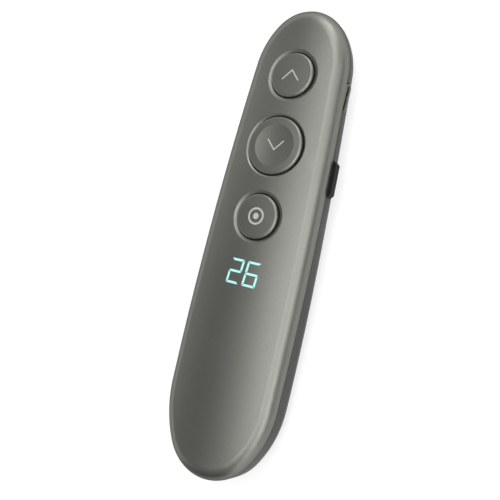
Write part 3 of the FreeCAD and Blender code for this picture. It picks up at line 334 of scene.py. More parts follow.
def build_card(name, middle, half_length, height, turn):
    """A dark card that stands on the floor beside the picture and is only seen in reflections."""
    form = bmesh.new()
    along = Vector((math.cos(math.radians(turn)), math.sin(math.radians(turn)), 0)) * half_length
    foot = Vector((*middle, cad_low.z))
    corners = [foot - along, foot + along, foot + along, foot - along]
    for corner in corners[2:]:
        corner.z += height
    form.faces.new([form.verts.new(corner) for corner in corners])
    card = keep_form(form, name)
    card.visible_camera = False
    card.visible_diffuse = False
    card.visible_shadow = False
    return card


card_felt, tree, output = new_material("card_felt")
place = add_node(tree, "ShaderNodeTexCoord")
nap = add_node(tree, "ShaderNodeTexNoise", {"Vector": place.outputs["Object"], "Scale": 1 / NAP_SIZE})
rough = add_node(tree, "ShaderNodeMapRange", {"Value": nap.outputs["Fac"], "To Min": NAP_ROUGHNESS[0],
                                              "To Max": NAP_ROUGHNESS[1]})
add_surface(tree, output, {"Base Color": CARD_COLOUR, "Roughness": rough.outputs["Result"],
                           "Specular IOR Level": DULL})
for row in CARDS:
    card = build_card(*row)
    card.data.materials.append(card_felt)
print("cards:", [row[0] for row in CARDS])

# %% [markdown]
# ## The room
# Past the cove's rim lies the room. A plain grey would do for a camera, but the paint mirrors it: it
# has to be white near the horizon, where the edge of the clicker looks, and dim overhead, so that the
# flat of the shell stays dark between the bands. The level follows the height of the direction.

# %% Room light
ROOM_LEVEL = 0.2
WHITE_UP_TO = math.radians(24)
DIM_FROM = math.radians(34)
world = bpy.data.worlds.new("room")
bpy.context.scene.world = world
world.use_nodes = True
tree = world.node_tree
tree.nodes.clear()
direction = add_node(tree, "ShaderNodeTexCoord")
upward = add_node(tree, "ShaderNodeSeparateXYZ", {"Vector": direction.outputs["Generated"]})
level = add_node(tree, "ShaderNodeMapRange",
                 {"Value": upward.outputs["Z"], "From Min": math.sin(WHITE_UP_TO),
                  "From Max": math.sin(DIM_FROM), "To Min": 1.0, "To Max": ROOM_LEVEL},
                 interpolation_type="SMOOTHSTEP")
room = add_node(tree, "ShaderNodeBackground", {"Color": (1, 1, 1, 1), "Strength": level.outputs["Result"]})
add_node(tree, "ShaderNodeOutputWorld", {"Surface": room.outputs[0]})
print("room light overhead:", ROOM_LEVEL)

# %% [markdown]
# ## Shared effects
# Paint, plastic and metal all need the same things at their own scale: a fine grain that catches the
# light, slow clouds that keep a wide surface from looking dead, and the thin lines that tools leave on
# metal. Each is a node group, built once and used with other values in each finish. A picture could
# do the same, but it would need to be wrapped round every part, and these groups need no wrapping.


# %% Fine grain
def build_fine_grain():
    """Height and tone of a fine grain. Its size is in metres on the object."""
    group, start, end = new_group("fine_grain", "ShaderNodeTree",
                                  [("Grain Size", FLOAT, 0.2 * MM)],
                                  [("Height", FLOAT, None), ("Tone", FLOAT, None)])
    place = add_node(group, "ShaderNodeTexCoord")
    scale = add_node(group, "ShaderNodeMath", {0: 1.0, 1: start.outputs["Grain Size"]}, operation="DIVIDE")
    height = add_node(group, "ShaderNodeTexNoise", {"Vector": place.outputs["Object"],
                                                    "Scale": scale.outputs[0], "Detail": 2.0})
    flecks = add_node(group, "ShaderNodeTexVoronoi", {"Vector": place.outputs["Object"],
                                                      "Scale": scale.outputs[0]})
    tone = add_node(group, "ShaderNodeSeparateColor", {"Color": flecks.outputs["Color"]})
    group.links.new(height.outputs["Fac"], end.inputs["Height"])
    group.links.new(tone.outputs["Red"], end.inputs["Tone"])
    return group


fine_grain = build_fine_grain()
print("group:", fine_grain.name)


# %% Slow clouds
NOISE_LOW = 0.3
NOISE_HIGH = 0.7


def build_slow_clouds():
    """A value between two limits that drifts slowly over the surface."""
    group, start, end = new_group("slow_clouds", "ShaderNodeTree",
                                  [("Cloud Size", FLOAT, 20 * MM), ("Low", FLOAT, 0.0), ("High", FLOAT, 1.0)],
                                  [("Value", FLOAT, None)])
    place = add_node(group, "ShaderNodeTexCoord")
    scale = add_node(group, "ShaderNodeMath", {0: 1.0, 1: start.outputs["Cloud Size"]}, operation="DIVIDE")
    noise = add_node(group, "ShaderNodeTexNoise", {"Vector": place.outputs["Object"],
                                                   "Scale": scale.outputs[0], "Detail": 3.0})
    value = add_node(group, "ShaderNodeMapRange", {"Value": noise.outputs["Fac"], "From Min": NOISE_LOW,
                                                   "From Max": NOISE_HIGH, "To Min": start.outputs["Low"],
                                                   "To Max": start.outputs["High"]})
    group.links.new(value.outputs["Result"], end.inputs["Value"])
    return group


slow_clouds = build_slow_clouds()
print("group:", slow_clouds.name)


# %% Tool lines
def build_tool_lines():
    """Thin lines for drawn, rolled and turned metal. One line fills a box of the given size in metres."""
    group, start, end = new_group("tool_lines", "ShaderNodeTree",
                                  [("Line Size", VECTOR, (10 * MM, 0.1 * MM, 0.1 * MM))],
                                  [("Height", FLOAT, None)])
    place = add_node(group, "ShaderNodeTexCoord")
    counted = add_node(group, "ShaderNodeVectorMath", {0: place.outputs["Object"],
                                                       1: start.outputs["Line Size"]}, operation="DIVIDE")
    lines = add_node(group, "ShaderNodeTexNoise", {"Vector": counted.outputs[0], "Scale": 1.0, "Detail": 2.0})
    group.links.new(lines.outputs["Fac"], end.inputs["Height"])
    return group


tool_lines = build_tool_lines()
print("group:", tool_lines.name)

# %% [markdown]
# ## Finishes
# A finish is a Principled shader fed by the shared groups. One function makes those with a grain:
# paint, plastic, foam. Another makes the drawn metals, whose lines follow the way they were pulled.
# Both place the groups with the numbers of the finish: its colour, how much it changes from fleck to
# fleck, how rough it is and how deep the grain stands.


# %% A finish with a grain
# Each finish that has been made, under its name
made = {}
WIDE_CLOUDS = 30 * MM


def place_group(tree, group, inputs):
    """Places a node group in a tree with its own values."""
    node = add_node(tree, "ShaderNodeGroup", node_tree=group)
    for name, value in inputs.items():
        node.inputs[name].default_value = value
    return node


def shaded(tree, colour, tone, change):
    """A colour made darker or lighter by a tone between zero and one."""
    share = add_node(tree, "ShaderNodeMapRange", {"Value": tone, "To Min": 1 - change, "To Max": 1 + change})
    return add_node(tree, "ShaderNodeVectorMath", {0: colour[:3], "Scale": share.outputs["Result"]},
                    operation="SCALE").outputs[0]


def finish(name, colour, grain, depth, fleck, rough, **plain):
    """Makes a material with a grain of a size and depth in millimetres, a change of colour from fleck to
    fleck, a roughness between two limits, and plain values for other sockets."""
    material, tree, output = new_material(name)
    grain = place_group(tree, fine_grain, {"Grain Size": grain * MM})
    clouds = place_group(tree, slow_clouds, {"Cloud Size": WIDE_CLOUDS, "Low": rough[0], "High": rough[1]})
    bump = add_node(tree, "ShaderNodeBump", {"Height": grain.outputs["Height"], "Strength": 1.0,
                                             "Distance": depth * MM})
    surface = add_surface(tree, output, {"Base Color": shaded(tree, colour, grain.outputs["Tone"], fleck),
                                         "Roughness": clouds.outputs["Value"],
                                         "Normal": bump.outputs["Normal"]})
    for socket, value in plain.items():
        surface.inputs[socket.replace("_", " ").title().replace("Ior", "IOR")].default_value = value
    made[name] = material


print("a grain is added by:", finish.__name__)


# %% A drawn metal
METAL_CHANGE = 0.06
METAL_CLOUDS = 8 * MM


def drawn_metal(name, colour, line_size, depth, rough):
    """Makes a metal with the lines of the tool that pulled or rolled it, told in millimetres."""
    material, tree, output = new_material(name)
    lines = place_group(tree, tool_lines, {"Line Size": [side * MM for side in line_size]})
    clouds = place_group(tree, slow_clouds, {"Cloud Size": METAL_CLOUDS, "Low": rough[0], "High": rough[1]})
    bump = add_node(tree, "ShaderNodeBump", {"Height": lines.outputs["Height"], "Strength": 1.0,
                                             "Distance": depth * MM})
    add_surface(tree, output, {"Base Color": shaded(tree, colour, lines.outputs["Height"], METAL_CHANGE),
                               "Metallic": 1.0, "Roughness": clouds.outputs["Value"],
                               "Normal": bump.outputs["Normal"]})
    made[name] = material


print("tool lines are added by:", drawn_metal.__name__)

# %% [markdown]
# ## Paint and plastic of the case
# The upper shell and the key caps carry a satin metallic paint: fine flakes in grey lacquer, which
# mirror the lamps softly. A plain grey with a clear coat would show a sharp lamp on top of a dull
# colour, so the paint is a dark rough metal instead, darkened where the view grazes it. The tray
# below the seam is moulded plastic in a darker grey, and that darkness is painted shade: it holds the
# shade along the clicker's lower side. The switch knob is nearly black.

# %% Case finishes
DARK_EDGE = (0.3, 0.3, 0.3, 1)
SHELL_GREY = linear(127, 128, 122)
CAP_GREY = linear(125, 126, 120)
# The tray's darker grey is painted shade: it holds the shade along the clicker's lower side
TRAY_GREY_WITH_PAINTED_SHADE = linear(48, 49, 46)
MARK_GREY = linear(172, 172, 166)
KNOB_BLACK = linear(14, 14, 13)
FLAKES = {"grain": 0.18, "depth": 0.0015, "fleck": 0.06, "metallic": 1.0, "specular_tint": DARK_EDGE}
finish("shell_paint", SHELL_GREY, rough=(0.39, 0.43), **FLAKES)
finish("cap_paint", CAP_GREY, rough=(0.38, 0.42), **FLAKES)
finish("tray_plastic", TRAY_GREY_WITH_PAINTED_SHADE, grain=0.3, depth=0.002, fleck=0.05, rough=(0.42, 0.5),
       specular_ior_level=0.3)
finish("mark_print", MARK_GREY, grain=0.1, depth=0.002, fleck=0.03, rough=(0.5, 0.6),
       specular_ior_level=0.2)
finish("knob_plastic", KNOB_BLACK, grain=0.25, depth=0.005, fleck=0.1, rough=(0.5, 0.6),
       specular_ior_level=0.15)
print("case:", list(made))

# %% [markdown]
# ## Finishes of the receiver, the port and the inside
# The receiver's plug and the port are thin steel, drawn in one direction. Inside lie a green circuit
# board, black chips, a battery cell in wrinkled foil on a foam pad, and its red and black leads. They
# only show when the part is taken to pieces, but each still has its own grain, colour and gloss.

# %% Plastics, metals and soft stuff
PLAIN_FINISHES = [
    # name, colour on a screen, grain and its depth in millimetres, change from fleck to fleck, roughness
    ("black_plastic", (34, 34, 34), 0.25, 0.006, 0.1, (0.42, 0.55)),
    ("white_plastic", (222, 222, 216), 0.2, 0.003, 0.02, (0.4, 0.5)),
    ("film", (226, 230, 226), 0.1, 0.002, 0.01, (0.5, 0.6)),
    ("chip", (40, 41, 43), 0.12, 0.004, 0.12, (0.5, 0.62)),
    ("foam", (58, 58, 60), 0.4, 0.12, 0.25, (0.85, 0.95)),
    ("circuit_board", (22, 74, 48), 0.3, 0.003, 0.08, (0.3, 0.4)),
    ("lead_rubber", (150, 28, 26), 0.2, 0.003, 0.05, (0.4, 0.5)),
    ("switch_black", (36, 36, 37), 0.15, 0.004, 0.08, (0.4, 0.5)),
]
METALS = [
    # name, colour on a screen, box of one tool line and its depth in millimetres, roughness
    ("steel", (190, 191, 190), (0.1, 6, 0.1), 0.002, (0.24, 0.34)),
    ("screw_steel", (84, 84, 84), (0.3, 0.3, 0.05), 0.003, (0.3, 0.42)),
    ("gold", (232, 196, 118), (4, 0.05, 0.05), 0.001, (0.2, 0.28)),
    ("magnet_nickel", (200, 199, 193), (0.4, 0.4, 0.4), 0.001, (0.15, 0.25)),
]
FOIL_GREY = linear(176, 178, 180)
for name, colour, *rest in PLAIN_FINISHES:
    finish(name, linear(*colour), *rest)
for name, colour, *rest in METALS:
    drawn_metal(name, linear(*colour), *rest)
finish("cell_foil", FOIL_GREY, grain=2.4, depth=0.12, fleck=0.03, rough=(0.3, 0.42), metallic=0.9)
print("finishes:", len(made))


# %% Two tones on one solid
def repaint(material, share, colour):
    """Lays a second colour over a finish, wherever a share is one."""
    tree = material.node_tree
    surface = next(node for node in tree.nodes if node.bl_idname == "ShaderNodeBsdfPrincipled")
    paint = surface.inputs["Base Color"]
    tree.links.new(mix_colours(tree, share, paint.links[0].from_socket, colour), paint)


def second_tone(material, axis, edge, colour):
    """Paints everything beyond a place on one axis in a second colour."""
    tree = material.node_tree
    place = add_node(tree, "ShaderNodeTexCoord")
    parts = add_node(tree, "ShaderNodeSeparateXYZ", {"Vector": place.outputs["Object"]})
    beyond = add_node(tree, "ShaderNodeMath", {0: parts.outputs[axis], 1: edge}, operation="GREATER_THAN")
    repaint(material, beyond.outputs[0], colour)


SWITCH_LID = 0.6 * MM
LEAD_BLACK = linear(24, 24, 25)
LID_STEEL = linear(178, 179, 178)
second_tone(made["lead_rubber"], "X", 0.0, LEAD_BLACK)
second_tone(made["switch_black"], "Z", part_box("tact_switches")[1].z - SWITCH_LID, LID_STEEL)
print("switch lids in mm:", SWITCH_LID / MM)


# %% Tracks of the circuit board
TRACK_GAP_SHARE = 0.12
TRACK_RUN_SHARE = 4.0
TRACK_ROW_SHARE = 0.9


def add_tracks(material, pitch, colour):
    """Paints copper tracks under the board's green lacquer, in short runs along the board."""
    tree = material.node_tree
    place = add_node(tree, "ShaderNodeTexCoord")
    sized = add_node(tree, "ShaderNodeVectorMath", {0: place.outputs["Object"], "Scale": 1 / pitch},
                     operation="SCALE")
    tracks = add_node(tree, "ShaderNodeTexBrick", {"Vector": sized.outputs[0], "Scale": 1.0,
                                                   "Mortar Size": TRACK_GAP_SHARE,
                                                   "Brick Width": TRACK_RUN_SHARE,
                                                   "Row Height": TRACK_ROW_SHARE})
    repaint(material, tracks.outputs["Fac"], colour)


TRACK_PITCH = 0.8 * MM
TRACK_GREEN = linear(42, 108, 66)
add_tracks(made["circuit_board"], TRACK_PITCH, TRACK_GREEN)
print("track pitch in mm:", TRACK_PITCH / MM)

# %% [markdown]
# ## Which solid has which finish
# The table names each finish once, with the solids that carry it. A CAD solid keeps its shape, and only
# its material changes. Those that get a better mesh further down are dressed here too.

# %% Dress the solids
WORN_BY = {
    "shell_paint": ["upper_shell"],
    "cap_paint": ["previous_button", "next_button", "spotlight_button"],
    "tray_plastic": ["lower_shell"],
    "mark_print": ["previous_icon", "next_icon", "spotlight_icon"],
    "knob_plastic": ["side_switch_knob"],
    "black_plastic": ["slide_switch_slider", "previous_plunger", "next_plunger", "spotlight_plunger",
                      "receiver_grip", "receiver_tongue", "port_tongue"],
    "white_plastic": ["display_light_box", "display_leds", "battery_connector", "antenna"],
    "film": ["display_film"],
    "steel": ["port_shell", "receiver_plug", "crystal", "slide_switch_can", "vibration_motor"],
    "switch_black": ["tact_switches"],
    "screw_steel": ["case_screws", "board_screws"],
    "gold": ["port_contacts"],
    "chip": ["controller_chip", "motion_sensor", "charger_chip", "board_passives"],
    "circuit_board": ["main_board"],
    "cell_foil": ["battery_cell"],
    "foam": ["battery_pad"],
    "lead_rubber": ["battery_leads"],
    "magnet_nickel": ["bay_magnet"],
}


def dress(name, material):
    """Gives one object one material."""
    nodes[name].data.materials.clear()
    nodes[name].data.materials.append(material)


for finish_name, worn in WORN_BY.items():
    for name in worn:
        dress(name, made[finish_name])
print("dressed:", sum(len(worn) for worn in WORN_BY.values()), "of", len(nodes))

# %% [markdown]
# ## The lit number
# The number shines through thin bars in the shell's crown. Each bar is brightest along its middle and
# fades to teal at its edge, where the paint's cut edge shades it. The fade could be a blurred picture.
# Here each bar's top gets a narrow rim. Its outer corners carry the value zero and its inner ones the
# value one. The material reads that value, so the fade follows the bar's own outline.


# %% Copies of the solids
MERGE_REACH = 0.001 * MM


def merged_copy(name):
    """A merged copy of a solid's mesh. The solid itself stays as it is."""
    form = bmesh.new()
    form.from_mesh(nodes[name].data)
    bmesh.ops.remove_doubles(form, verts=form.verts, dist=MERGE_REACH)
    return form


def finish_piece(piece, body, material, slot, *replaced):
    """Gives a piece its material, where it has none yet, its body and the solids it replaces. The slot is not
    used.
    """
    if material:
        piece.data.materials.clear()
        piece.data.materials.append(material)
    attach(piece, body)
    if replaced:
        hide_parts(*replaced)
    print(piece.name, "faces:", len(piece.data.polygons))


print("merge reach in mm:", MERGE_REACH / MM)

# %% Lit bars
GLOW_RIM = 0.06 * MM
FACING_UP = 0.9
GLOW_COLOUR = linear(190, 255, 253)
RIM_COLOUR = linear(58, 128, 132)
UNLIT_COLOUR = linear(40, 60, 60)
BAR_ROUGHNESS = 0.4
GLOW_CLOUDS = {"Cloud Size": 1.2 * MM, "Low": 0.92, "High": 1.0}


def build_digits():
    """The bars of the number, each with a rim round its top that the material fades over."""
    form = merged_copy("display_windows")
    form.normal_update()
    tops = [face for face in form.faces if face.normal.z > FACING_UP]
    tops = bmesh.ops.dissolve_faces(form, faces=tops)["region"]
    bmesh.ops.inset_individual(form, faces=tops, thickness=GLOW_RIM, use_even_offset=True)
    glow = form.verts.layers.float.new("glow")
    for face in tops:
        for vert in face.verts:
            vert[glow] = 1.0
    return keep_form(form, "lit_bars"), len(tops)


lit_digits, tree, output = new_material("lit_digits")
glow = add_node(tree, "ShaderNodeAttribute", attribute_name="glow")
clouds = place_group(tree, slow_clouds, GLOW_CLOUDS)
share = add_node(tree, "ShaderNodeMath", {0: glow.outputs["Fac"], 1: clouds.outputs["Value"]},
                 operation="MULTIPLY")
add_surface(tree, output, {"Base Color": UNLIT_COLOUR, "Roughness": BAR_ROUGHNESS, "Emission Strength": 1.0,
                           "Emission Color": mix_colours(tree, share.outputs[0], RIM_COLOUR, GLOW_COLOUR)})
dress("display_windows", lit_digits)
digits, bar_count = build_digits()
finish_piece(digits, "housing", lit_digits, "lit_digits", "display_windows")
print("bars:", bar_count)

# %% [markdown]
# ## Screws
# Eight screws hold the clicker together: four come up from below and four hold the board. They are
# pan heads with a cross recess and a thread. One screw is turned like on a lathe, from pairs of radius
# and height, and a cross is cut out of its head. A geometry tree then sets a copy at each place, with
# its cross at another angle, as screws stand when they have been driven home.


# %% A turned shape
LATHE_STEPS = 24


def turned(profile):
    """A closed form turned from pairs of radius and height. The first and last lie on the axis."""
    form = bmesh.new()
    first = form.verts.new((0, 0, profile[0][1]))
    last = form.verts.new((0, 0, profile[-1][1]))
    rings = [ring_of(form, radius, height, LATHE_STEPS) for radius, height in profile[1:-1]]
    join_rings(form, rings)
    for step in range(LATHE_STEPS):
        after = (step + 1) % LATHE_STEPS
        form.faces.new((first, rings[0][step], rings[0][after]))
        form.faces.new((last, rings[-1][after], rings[-1][step]))
    bmesh.ops.recalc_face_normals(form, faces=form.faces)
    return form


def settle(thing, name):
    """Works out an object's modifiers, keeps the result as a plain mesh and removes the object."""
    graph = bpy.context.evaluated_depsgraph_get()
    mesh = bpy.data.meshes.new_from_object(thing.evaluated_get(graph))
    bpy.data.objects.remove(thing)
    mesh.name = name
    return add_object(name, mesh)


def carve(thing, cutters, name):
    """Cuts other objects out of one, and removes them all but the result."""
    for cutter in cutters:
        modifier = thing.modifiers.new(cutter.name, "BOOLEAN")
        modifier.operation = "DIFFERENCE"
        modifier.solver = "EXACT"
        modifier.object = cutter
    result = settle(thing, name)
    for cutter in cutters:
        bpy.data.objects.remove(cutter)
    form = bmesh.new()
    form.from_mesh(result.data)
    bmesh.ops.remove_doubles(form, verts=form.verts, dist=MERGE_REACH)
    bmesh.ops.dissolve_degenerate(form, edges=form.edges, dist=MERGE_REACH)
    form.to_mesh(result.data)
    form.free()
    return result


print("lathe steps:", LATHE_STEPS)

# %% One screw
HEAD_SHARES = [(0.0, 1.0), (0.5, 0.98), (0.78, 0.88), (0.94, 0.66), (1.0, 0.4), (1.0, 0.1), (0.95, 0.0)]
THREAD_PITCH = 0.5 * MM
THREAD_DEPTH = 0.16 * MM
RECESS_WIDTH_SHARE = 0.3
RECESS_REACH_SHARE = 1.05
RECESS_DEPTH_SHARE = 0.55
RECESS_TAPER_SHARE = 0.7
THREAD_FLANK = THREAD_PITCH / 3


def screw_profile(head_radius, head_height, shank_radius, shank_length):
    """Pairs of radius and height from the middle of the head down to the tip."""
    profile = [(share * head_radius, rise * head_height) for share, rise in HEAD_SHARES]
    turns = int(shank_length / THREAD_PITCH) - 1
    for turn in range(turns):
        height = -(turn + 0.5) * THREAD_PITCH
        profile.append((shank_radius - THREAD_DEPTH, height + THREAD_FLANK))
        profile.append((shank_radius, height))
        profile.append((shank_radius - THREAD_DEPTH, height - THREAD_FLANK))
    profile.append((shank_radius / 3, -shank_length))
    profile.append((0.0, -shank_length))
    return profile


def recess_arm(name, reach, width, depth, top, turned_across):
    """One arm of the cross, narrower at its bottom."""
    form = bmesh.new()
    bmesh.ops.create_cube(form, size=1.0)
    for vert in form.verts:
        below = vert.co.z < 0
        shrink = RECESS_TAPER_SHARE if below else 1.0
        x, y = vert.co.x * 2 * reach * shrink, vert.co.y * width * shrink
        vert.co = Vector((y, x, 0)) if turned_across else Vector((x, y, 0))
        vert.co.z = top + (-depth if below else depth)
    bmesh.ops.recalc_face_normals(form, faces=form.faces)
    return keep_form(form, name)


def build_screw(name, head_radius, head_height, shank_radius, shank_length):
    """A screw that stands on its seat at the origin, with its head up."""
    blank = keep_form(turned(screw_profile(head_radius, head_height, shank_radius, shank_length)), name)
    reach = shank_radius * RECESS_REACH_SHARE
    width = 2 * shank_radius * RECESS_WIDTH_SHARE
    depth = head_height * RECESS_DEPTH_SHARE
    arms = [recess_arm(f"{name}_arm_{across}", reach, width, depth, head_height, across) for across in (0, 1)]
    return carve(blank, arms, name)


print("thread pitch in mm:", THREAD_PITCH / MM)


# %% End of a geometry tree
def end_tree(group, points, start, end, **turned_by):
    """Sets the piece at points, makes the copies real and gives them their finish."""
    piece = add_node(group, "GeometryNodeObjectInfo", {"Object": start.outputs["Piece"]})
    copies = add_node(group, "GeometryNodeInstanceOnPoints",
                      {"Points": points, "Instance": piece.outputs["Geometry"], **turned_by})
    real = add_node(group, "GeometryNodeRealizeInstances", {"Geometry": copies.outputs["Instances"]})
    dressed = add_node(group, "GeometryNodeSetMaterial", {"Geometry": real.outputs["Geometry"],
                                                          "Material": start.outputs["Finish"]})
    group.links.new(dressed.outputs["Geometry"], end.inputs["Geometry"])
    return group


GEOMETRY = "NodeSocketGeometry"
WHOLE = "NodeSocketInt"
SHARED_INPUTS = [("Points", GEOMETRY, None), ("Piece", "NodeSocketObject", None),
                 ("Finish", "NodeSocketMaterial", None)]
print("each tree has at least:", [row[0] for row in SHARED_INPUTS])


# %% Tree that sets copies at points
def build_set_at_points():
    """Sets a copy of a piece at each point, turned over by one angle and round by a random one."""
    group, start, end = new_group("set_at_points", "GeometryNodeTree",
                                  SHARED_INPUTS + [("Turn Over", FLOAT, 0.0), ("Random Turn", FLOAT, 0.0),
                                                   ("Seed", WHOLE, 0)],
                                  [("Geometry", GEOMETRY, None)])
    turn = add_node(group, "FunctionNodeRandomValue", data_type="FLOAT")
    least, most = [socket for socket in turn.inputs
                   if socket.type == "VALUE" and socket.name in ("Min", "Max")]
    least.default_value = 0.0
    group.links.new(start.outputs["Random Turn"], most)
    group.links.new(start.outputs["Seed"], turn.inputs["Seed"])
    drawn = next(socket for socket in turn.outputs if socket.type == "VALUE")
    angles = add_node(group, "ShaderNodeCombineXYZ", {"X": start.outputs["Turn Over"], "Z": drawn})
    return end_tree(group, start.outputs["Points"], start, end, Rotation=angles.outputs[0])


def run_tree(name, tree, values, points):
    """Runs a geometry tree on a few points and keeps its result as a plain mesh."""
    mesh = bpy.data.meshes.new(name)
    mesh.from_pydata([tuple(point) for point in points], [], [])
    carrier = add_object(name + "_points", mesh)
    modifier = carrier.modifiers.new("tree", "NODES")
    modifier.node_group = tree
    for item in tree.interface.items_tree:
        if item.name in values:
            modifier[item.identifier] = values[item.name]
    return settle(carrier, name)


set_at_points = build_set_at_points()
print("tree:", set_at_points.name)


# %% Places of separate solids
def separate_solids(name):
    """The lowest and highest corner of each separate solid in a node, in a fixed order."""
    form = merged_copy(name)
    left = set(form.verts)
    boxes = []
    while left:
        waiting = [left.pop()]
        found = []
        while waiting:
            vert = waiting.pop()
            found.append(vert.co.copy())
            others = {edge.other_vert(vert) for edge in vert.link_edges} & left
            left -= others
            waiting.extend(others)
        boxes.append((Vector(map(min, zip(*found))), Vector(map(max, zip(*found)))))
    form.free()
    return sorted(boxes, key=lambda box: (round(box[0].y, 5), round(box[0].x, 5), round(box[0].z, 5)))


case_boxes = separate_solids("case_screws")
board_boxes = separate_solids("board_screws")
print("screws:", len(case_boxes), "in the case,", len(board_boxes), "on the board")

# %% Screws in place
CASE_HEAD_HEIGHT = 1.4 * MM
CASE_SHANK_RADIUS = 1.0 * MM
BOARD_HEAD_HEIGHT = 1.2 * MM
BOARD_SHANK_RADIUS = 0.9 * MM
SCREW_SEED = 3


def place_screws(name, node, boxes, head_height, shank_radius, head_down):
    """Replaces a node's plain screws with threaded ones at the same places."""
    low, high = boxes[0]
    head_radius = (high.x - low.x) / 2
    screw = build_screw(f"{name}_drawn", head_radius, head_height, shank_radius,
                        high.z - low.z - head_height)
    seat = low.z + head_height if head_down else high.z - head_height
    points = [((a.x + b.x) / 2, (a.y + b.y) / 2, seat) for a, b in boxes]
    screws = run_tree(name, set_at_points,
                      {"Piece": screw, "Turn Over": math.pi if head_down else 0.0, "Random Turn": math.pi,
                       "Seed": SCREW_SEED, "Finish": made["screw_steel"]}, points)
    bpy.data.objects.remove(screw)
    finish_piece(screws, "housing", None, "screw_steel", node)


place_screws("case_screws_threaded", "case_screws", case_boxes, CASE_HEAD_HEIGHT, CASE_SHANK_RADIUS, True)
place_screws("board_screws_threaded", "board_screws", board_boxes, BOARD_HEAD_HEIGHT, BOARD_SHANK_RADIUS,
             False)

# %% [markdown]
# ## The receiver
# The receiver slides out of a bay in the underside. Its plug is a folded steel tube with two square
# windows through each wide side, where a socket's springs catch. The tube is drawn as a rounded
# outline pulled along the plug, and the windows are cut out of it. Four gold contacts lie on the
# plastic tongue inside, and low ribs on the grip give the fingernail a hold. Both are rows of one
# drawn piece, so one geometry tree with a count and a step makes them.

# %% Plug with windows
PLUG_METAL = 0.3 * MM
PLUG_CORNER = 0.5 * MM
CORNER_STEPS = 5
WINDOW_SIDE = 2.2 * MM
WINDOW_SPREAD = 2.9 * MM
WINDOW_FROM_MOUTH = 5.3 * MM


def rounded_outline(half_width, half_height, corner):
    """Points of a rectangle with round corners, as pairs."""
    points = []
    for quarter, (side_x, side_z) in enumerate(((1, 1), (-1, 1), (-1, -1), (1, -1))):
        for step in range(CORNER_STEPS + 1):
            angle = math.pi / 2 * (quarter + step / CORNER_STEPS)
            points.append((side_x * (half_width - corner) + corner * math.cos(angle),
                           side_z * (half_height - corner) + corner * math.sin(angle)))
    return points


def tube(name, half_width, half_height, corner, metal, start, end, place):
    """A tube on a rounded outline, from start to end, with its wall rounded over at the end."""
    outside = rounded_outline(half_width, half_height, corner)
    inside = rounded_outline(half_width - metal, half_height - metal, corner - metal)
    middle = rounded_outline(half_width - metal / 2, half_height - metal / 2, corner - metal / 2)
    lip = end + (start - end) / abs(end - start) * metal / 2
    form = bmesh.new()
    rings = []
    for outline, along in ((outside, start), (outside, lip), (middle, end), (inside, lip), (inside, start)):
        rings.append([form.verts.new(place(across, up, along)) for across, up in outline])
    join_rings(form, rings + rings[:1])
    bmesh.ops.recalc_face_normals(form, faces=form.faces)
    return keep_form(form, name)


def window_block(name, x, y, low, high):
    """A block that cuts one window through both wide sides."""
    form = bmesh.new()
    bmesh.ops.create_cube(form, size=1.0)
    for vert in form.verts:
        vert.co = Vector((x + vert.co.x * WINDOW_SIDE, y + vert.co.y * WINDOW_SIDE,
                          high.z + MM if vert.co.z > 0 else low.z - MM))
    return keep_form(form, name)


plug_low, plug_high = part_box("receiver_plug")
plug_middle = (plug_low + plug_high) / 2
plug_half = (plug_high - plug_low) / 2
blank = tube("plug_tube", plug_half.x, plug_half.z, PLUG_CORNER, PLUG_METAL, plug_low.y, plug_high.y,
             lambda across, up, along: Vector((plug_middle.x + across, along, plug_middle.z + up)))
window_y = plug_high.y - WINDOW_FROM_MOUTH
cutters = [window_block(f"window_{side}", plug_middle.x + side * WINDOW_SPREAD, window_y, plug_low, plug_high)
           for side in (-1, 1)]
plug = carve(blank, cutters, "receiver_plug_folded")
finish_piece(plug, "receiver", made["steel"], "steel", "receiver_plug")


# %% Tree that sets a row
def build_row_of():
    """Sets copies of a piece in a straight row, a fixed step apart."""
    group, start, end = new_group("row_of", "GeometryNodeTree",
                                  SHARED_INPUTS + [("Count", WHOLE, 4), ("Start", VECTOR, (0, 0, 0)),
                                                   ("Step", VECTOR, (0, 0, 0))],
                                  [("Geometry", GEOMETRY, None)])
    line = add_node(group, "GeometryNodeMeshLine",
                    {"Count": start.outputs["Count"], "Start Location": start.outputs["Start"],
                     "Offset": start.outputs["Step"]}, mode="OFFSET")
    return end_tree(group, line.outputs["Mesh"], start, end)


row_of = build_row_of()
SOFT_STEPS = 3


def plain_block(size):
    """A block of a size, centred on the origin."""
    form = bmesh.new()
    bmesh.ops.create_cube(form, size=1.0)
    for vert in form.verts:
        vert.co = Vector((vert.co.x * size[0], vert.co.y * size[1], vert.co.z * size[2]))
    return form


def soft_bar(name, size, edge):
    """A block with all its edges rounded."""
    form = plain_block(size)
    bmesh.ops.bevel(form, geom=form.edges[:], offset=edge, segments=SOFT_STEPS, profile=0.5, affect="EDGES")
    return keep_form(form, name)


def place_row(name, drawn, count, start, step, body, slot):
    """A row of one drawn piece, as one plain mesh on its body, with the finish that its slot names."""
    row = run_tree(name, row_of, {"Piece": drawn, "Count": count, "Start": start, "Step": step,
                                  "Finish": made[slot]}, [(0, 0, 0)])
    bpy.data.objects.remove(drawn)
    finish_piece(row, body, None, slot)


print("tree:", row_of.name)

# %% Ribs and contacts
RIB_COUNT = 5
RIB_STEP = 1.2 * MM
RIB_LENGTH = 8.4 * MM
RIB_WIDTH = 0.6 * MM
RIB_RISE = 0.15 * MM
RIB_HEIGHT = 0.4 * MM
CONTACT_COUNT = 4
CONTACT_STEP = 2.3 * MM
CONTACT_LENGTH = 7.0 * MM
CONTACT_WIDTH = 1.1 * MM
CONTACT_THICKNESS = 0.12 * MM
CONTACT_FROM_MOUTH = 1.2 * MM

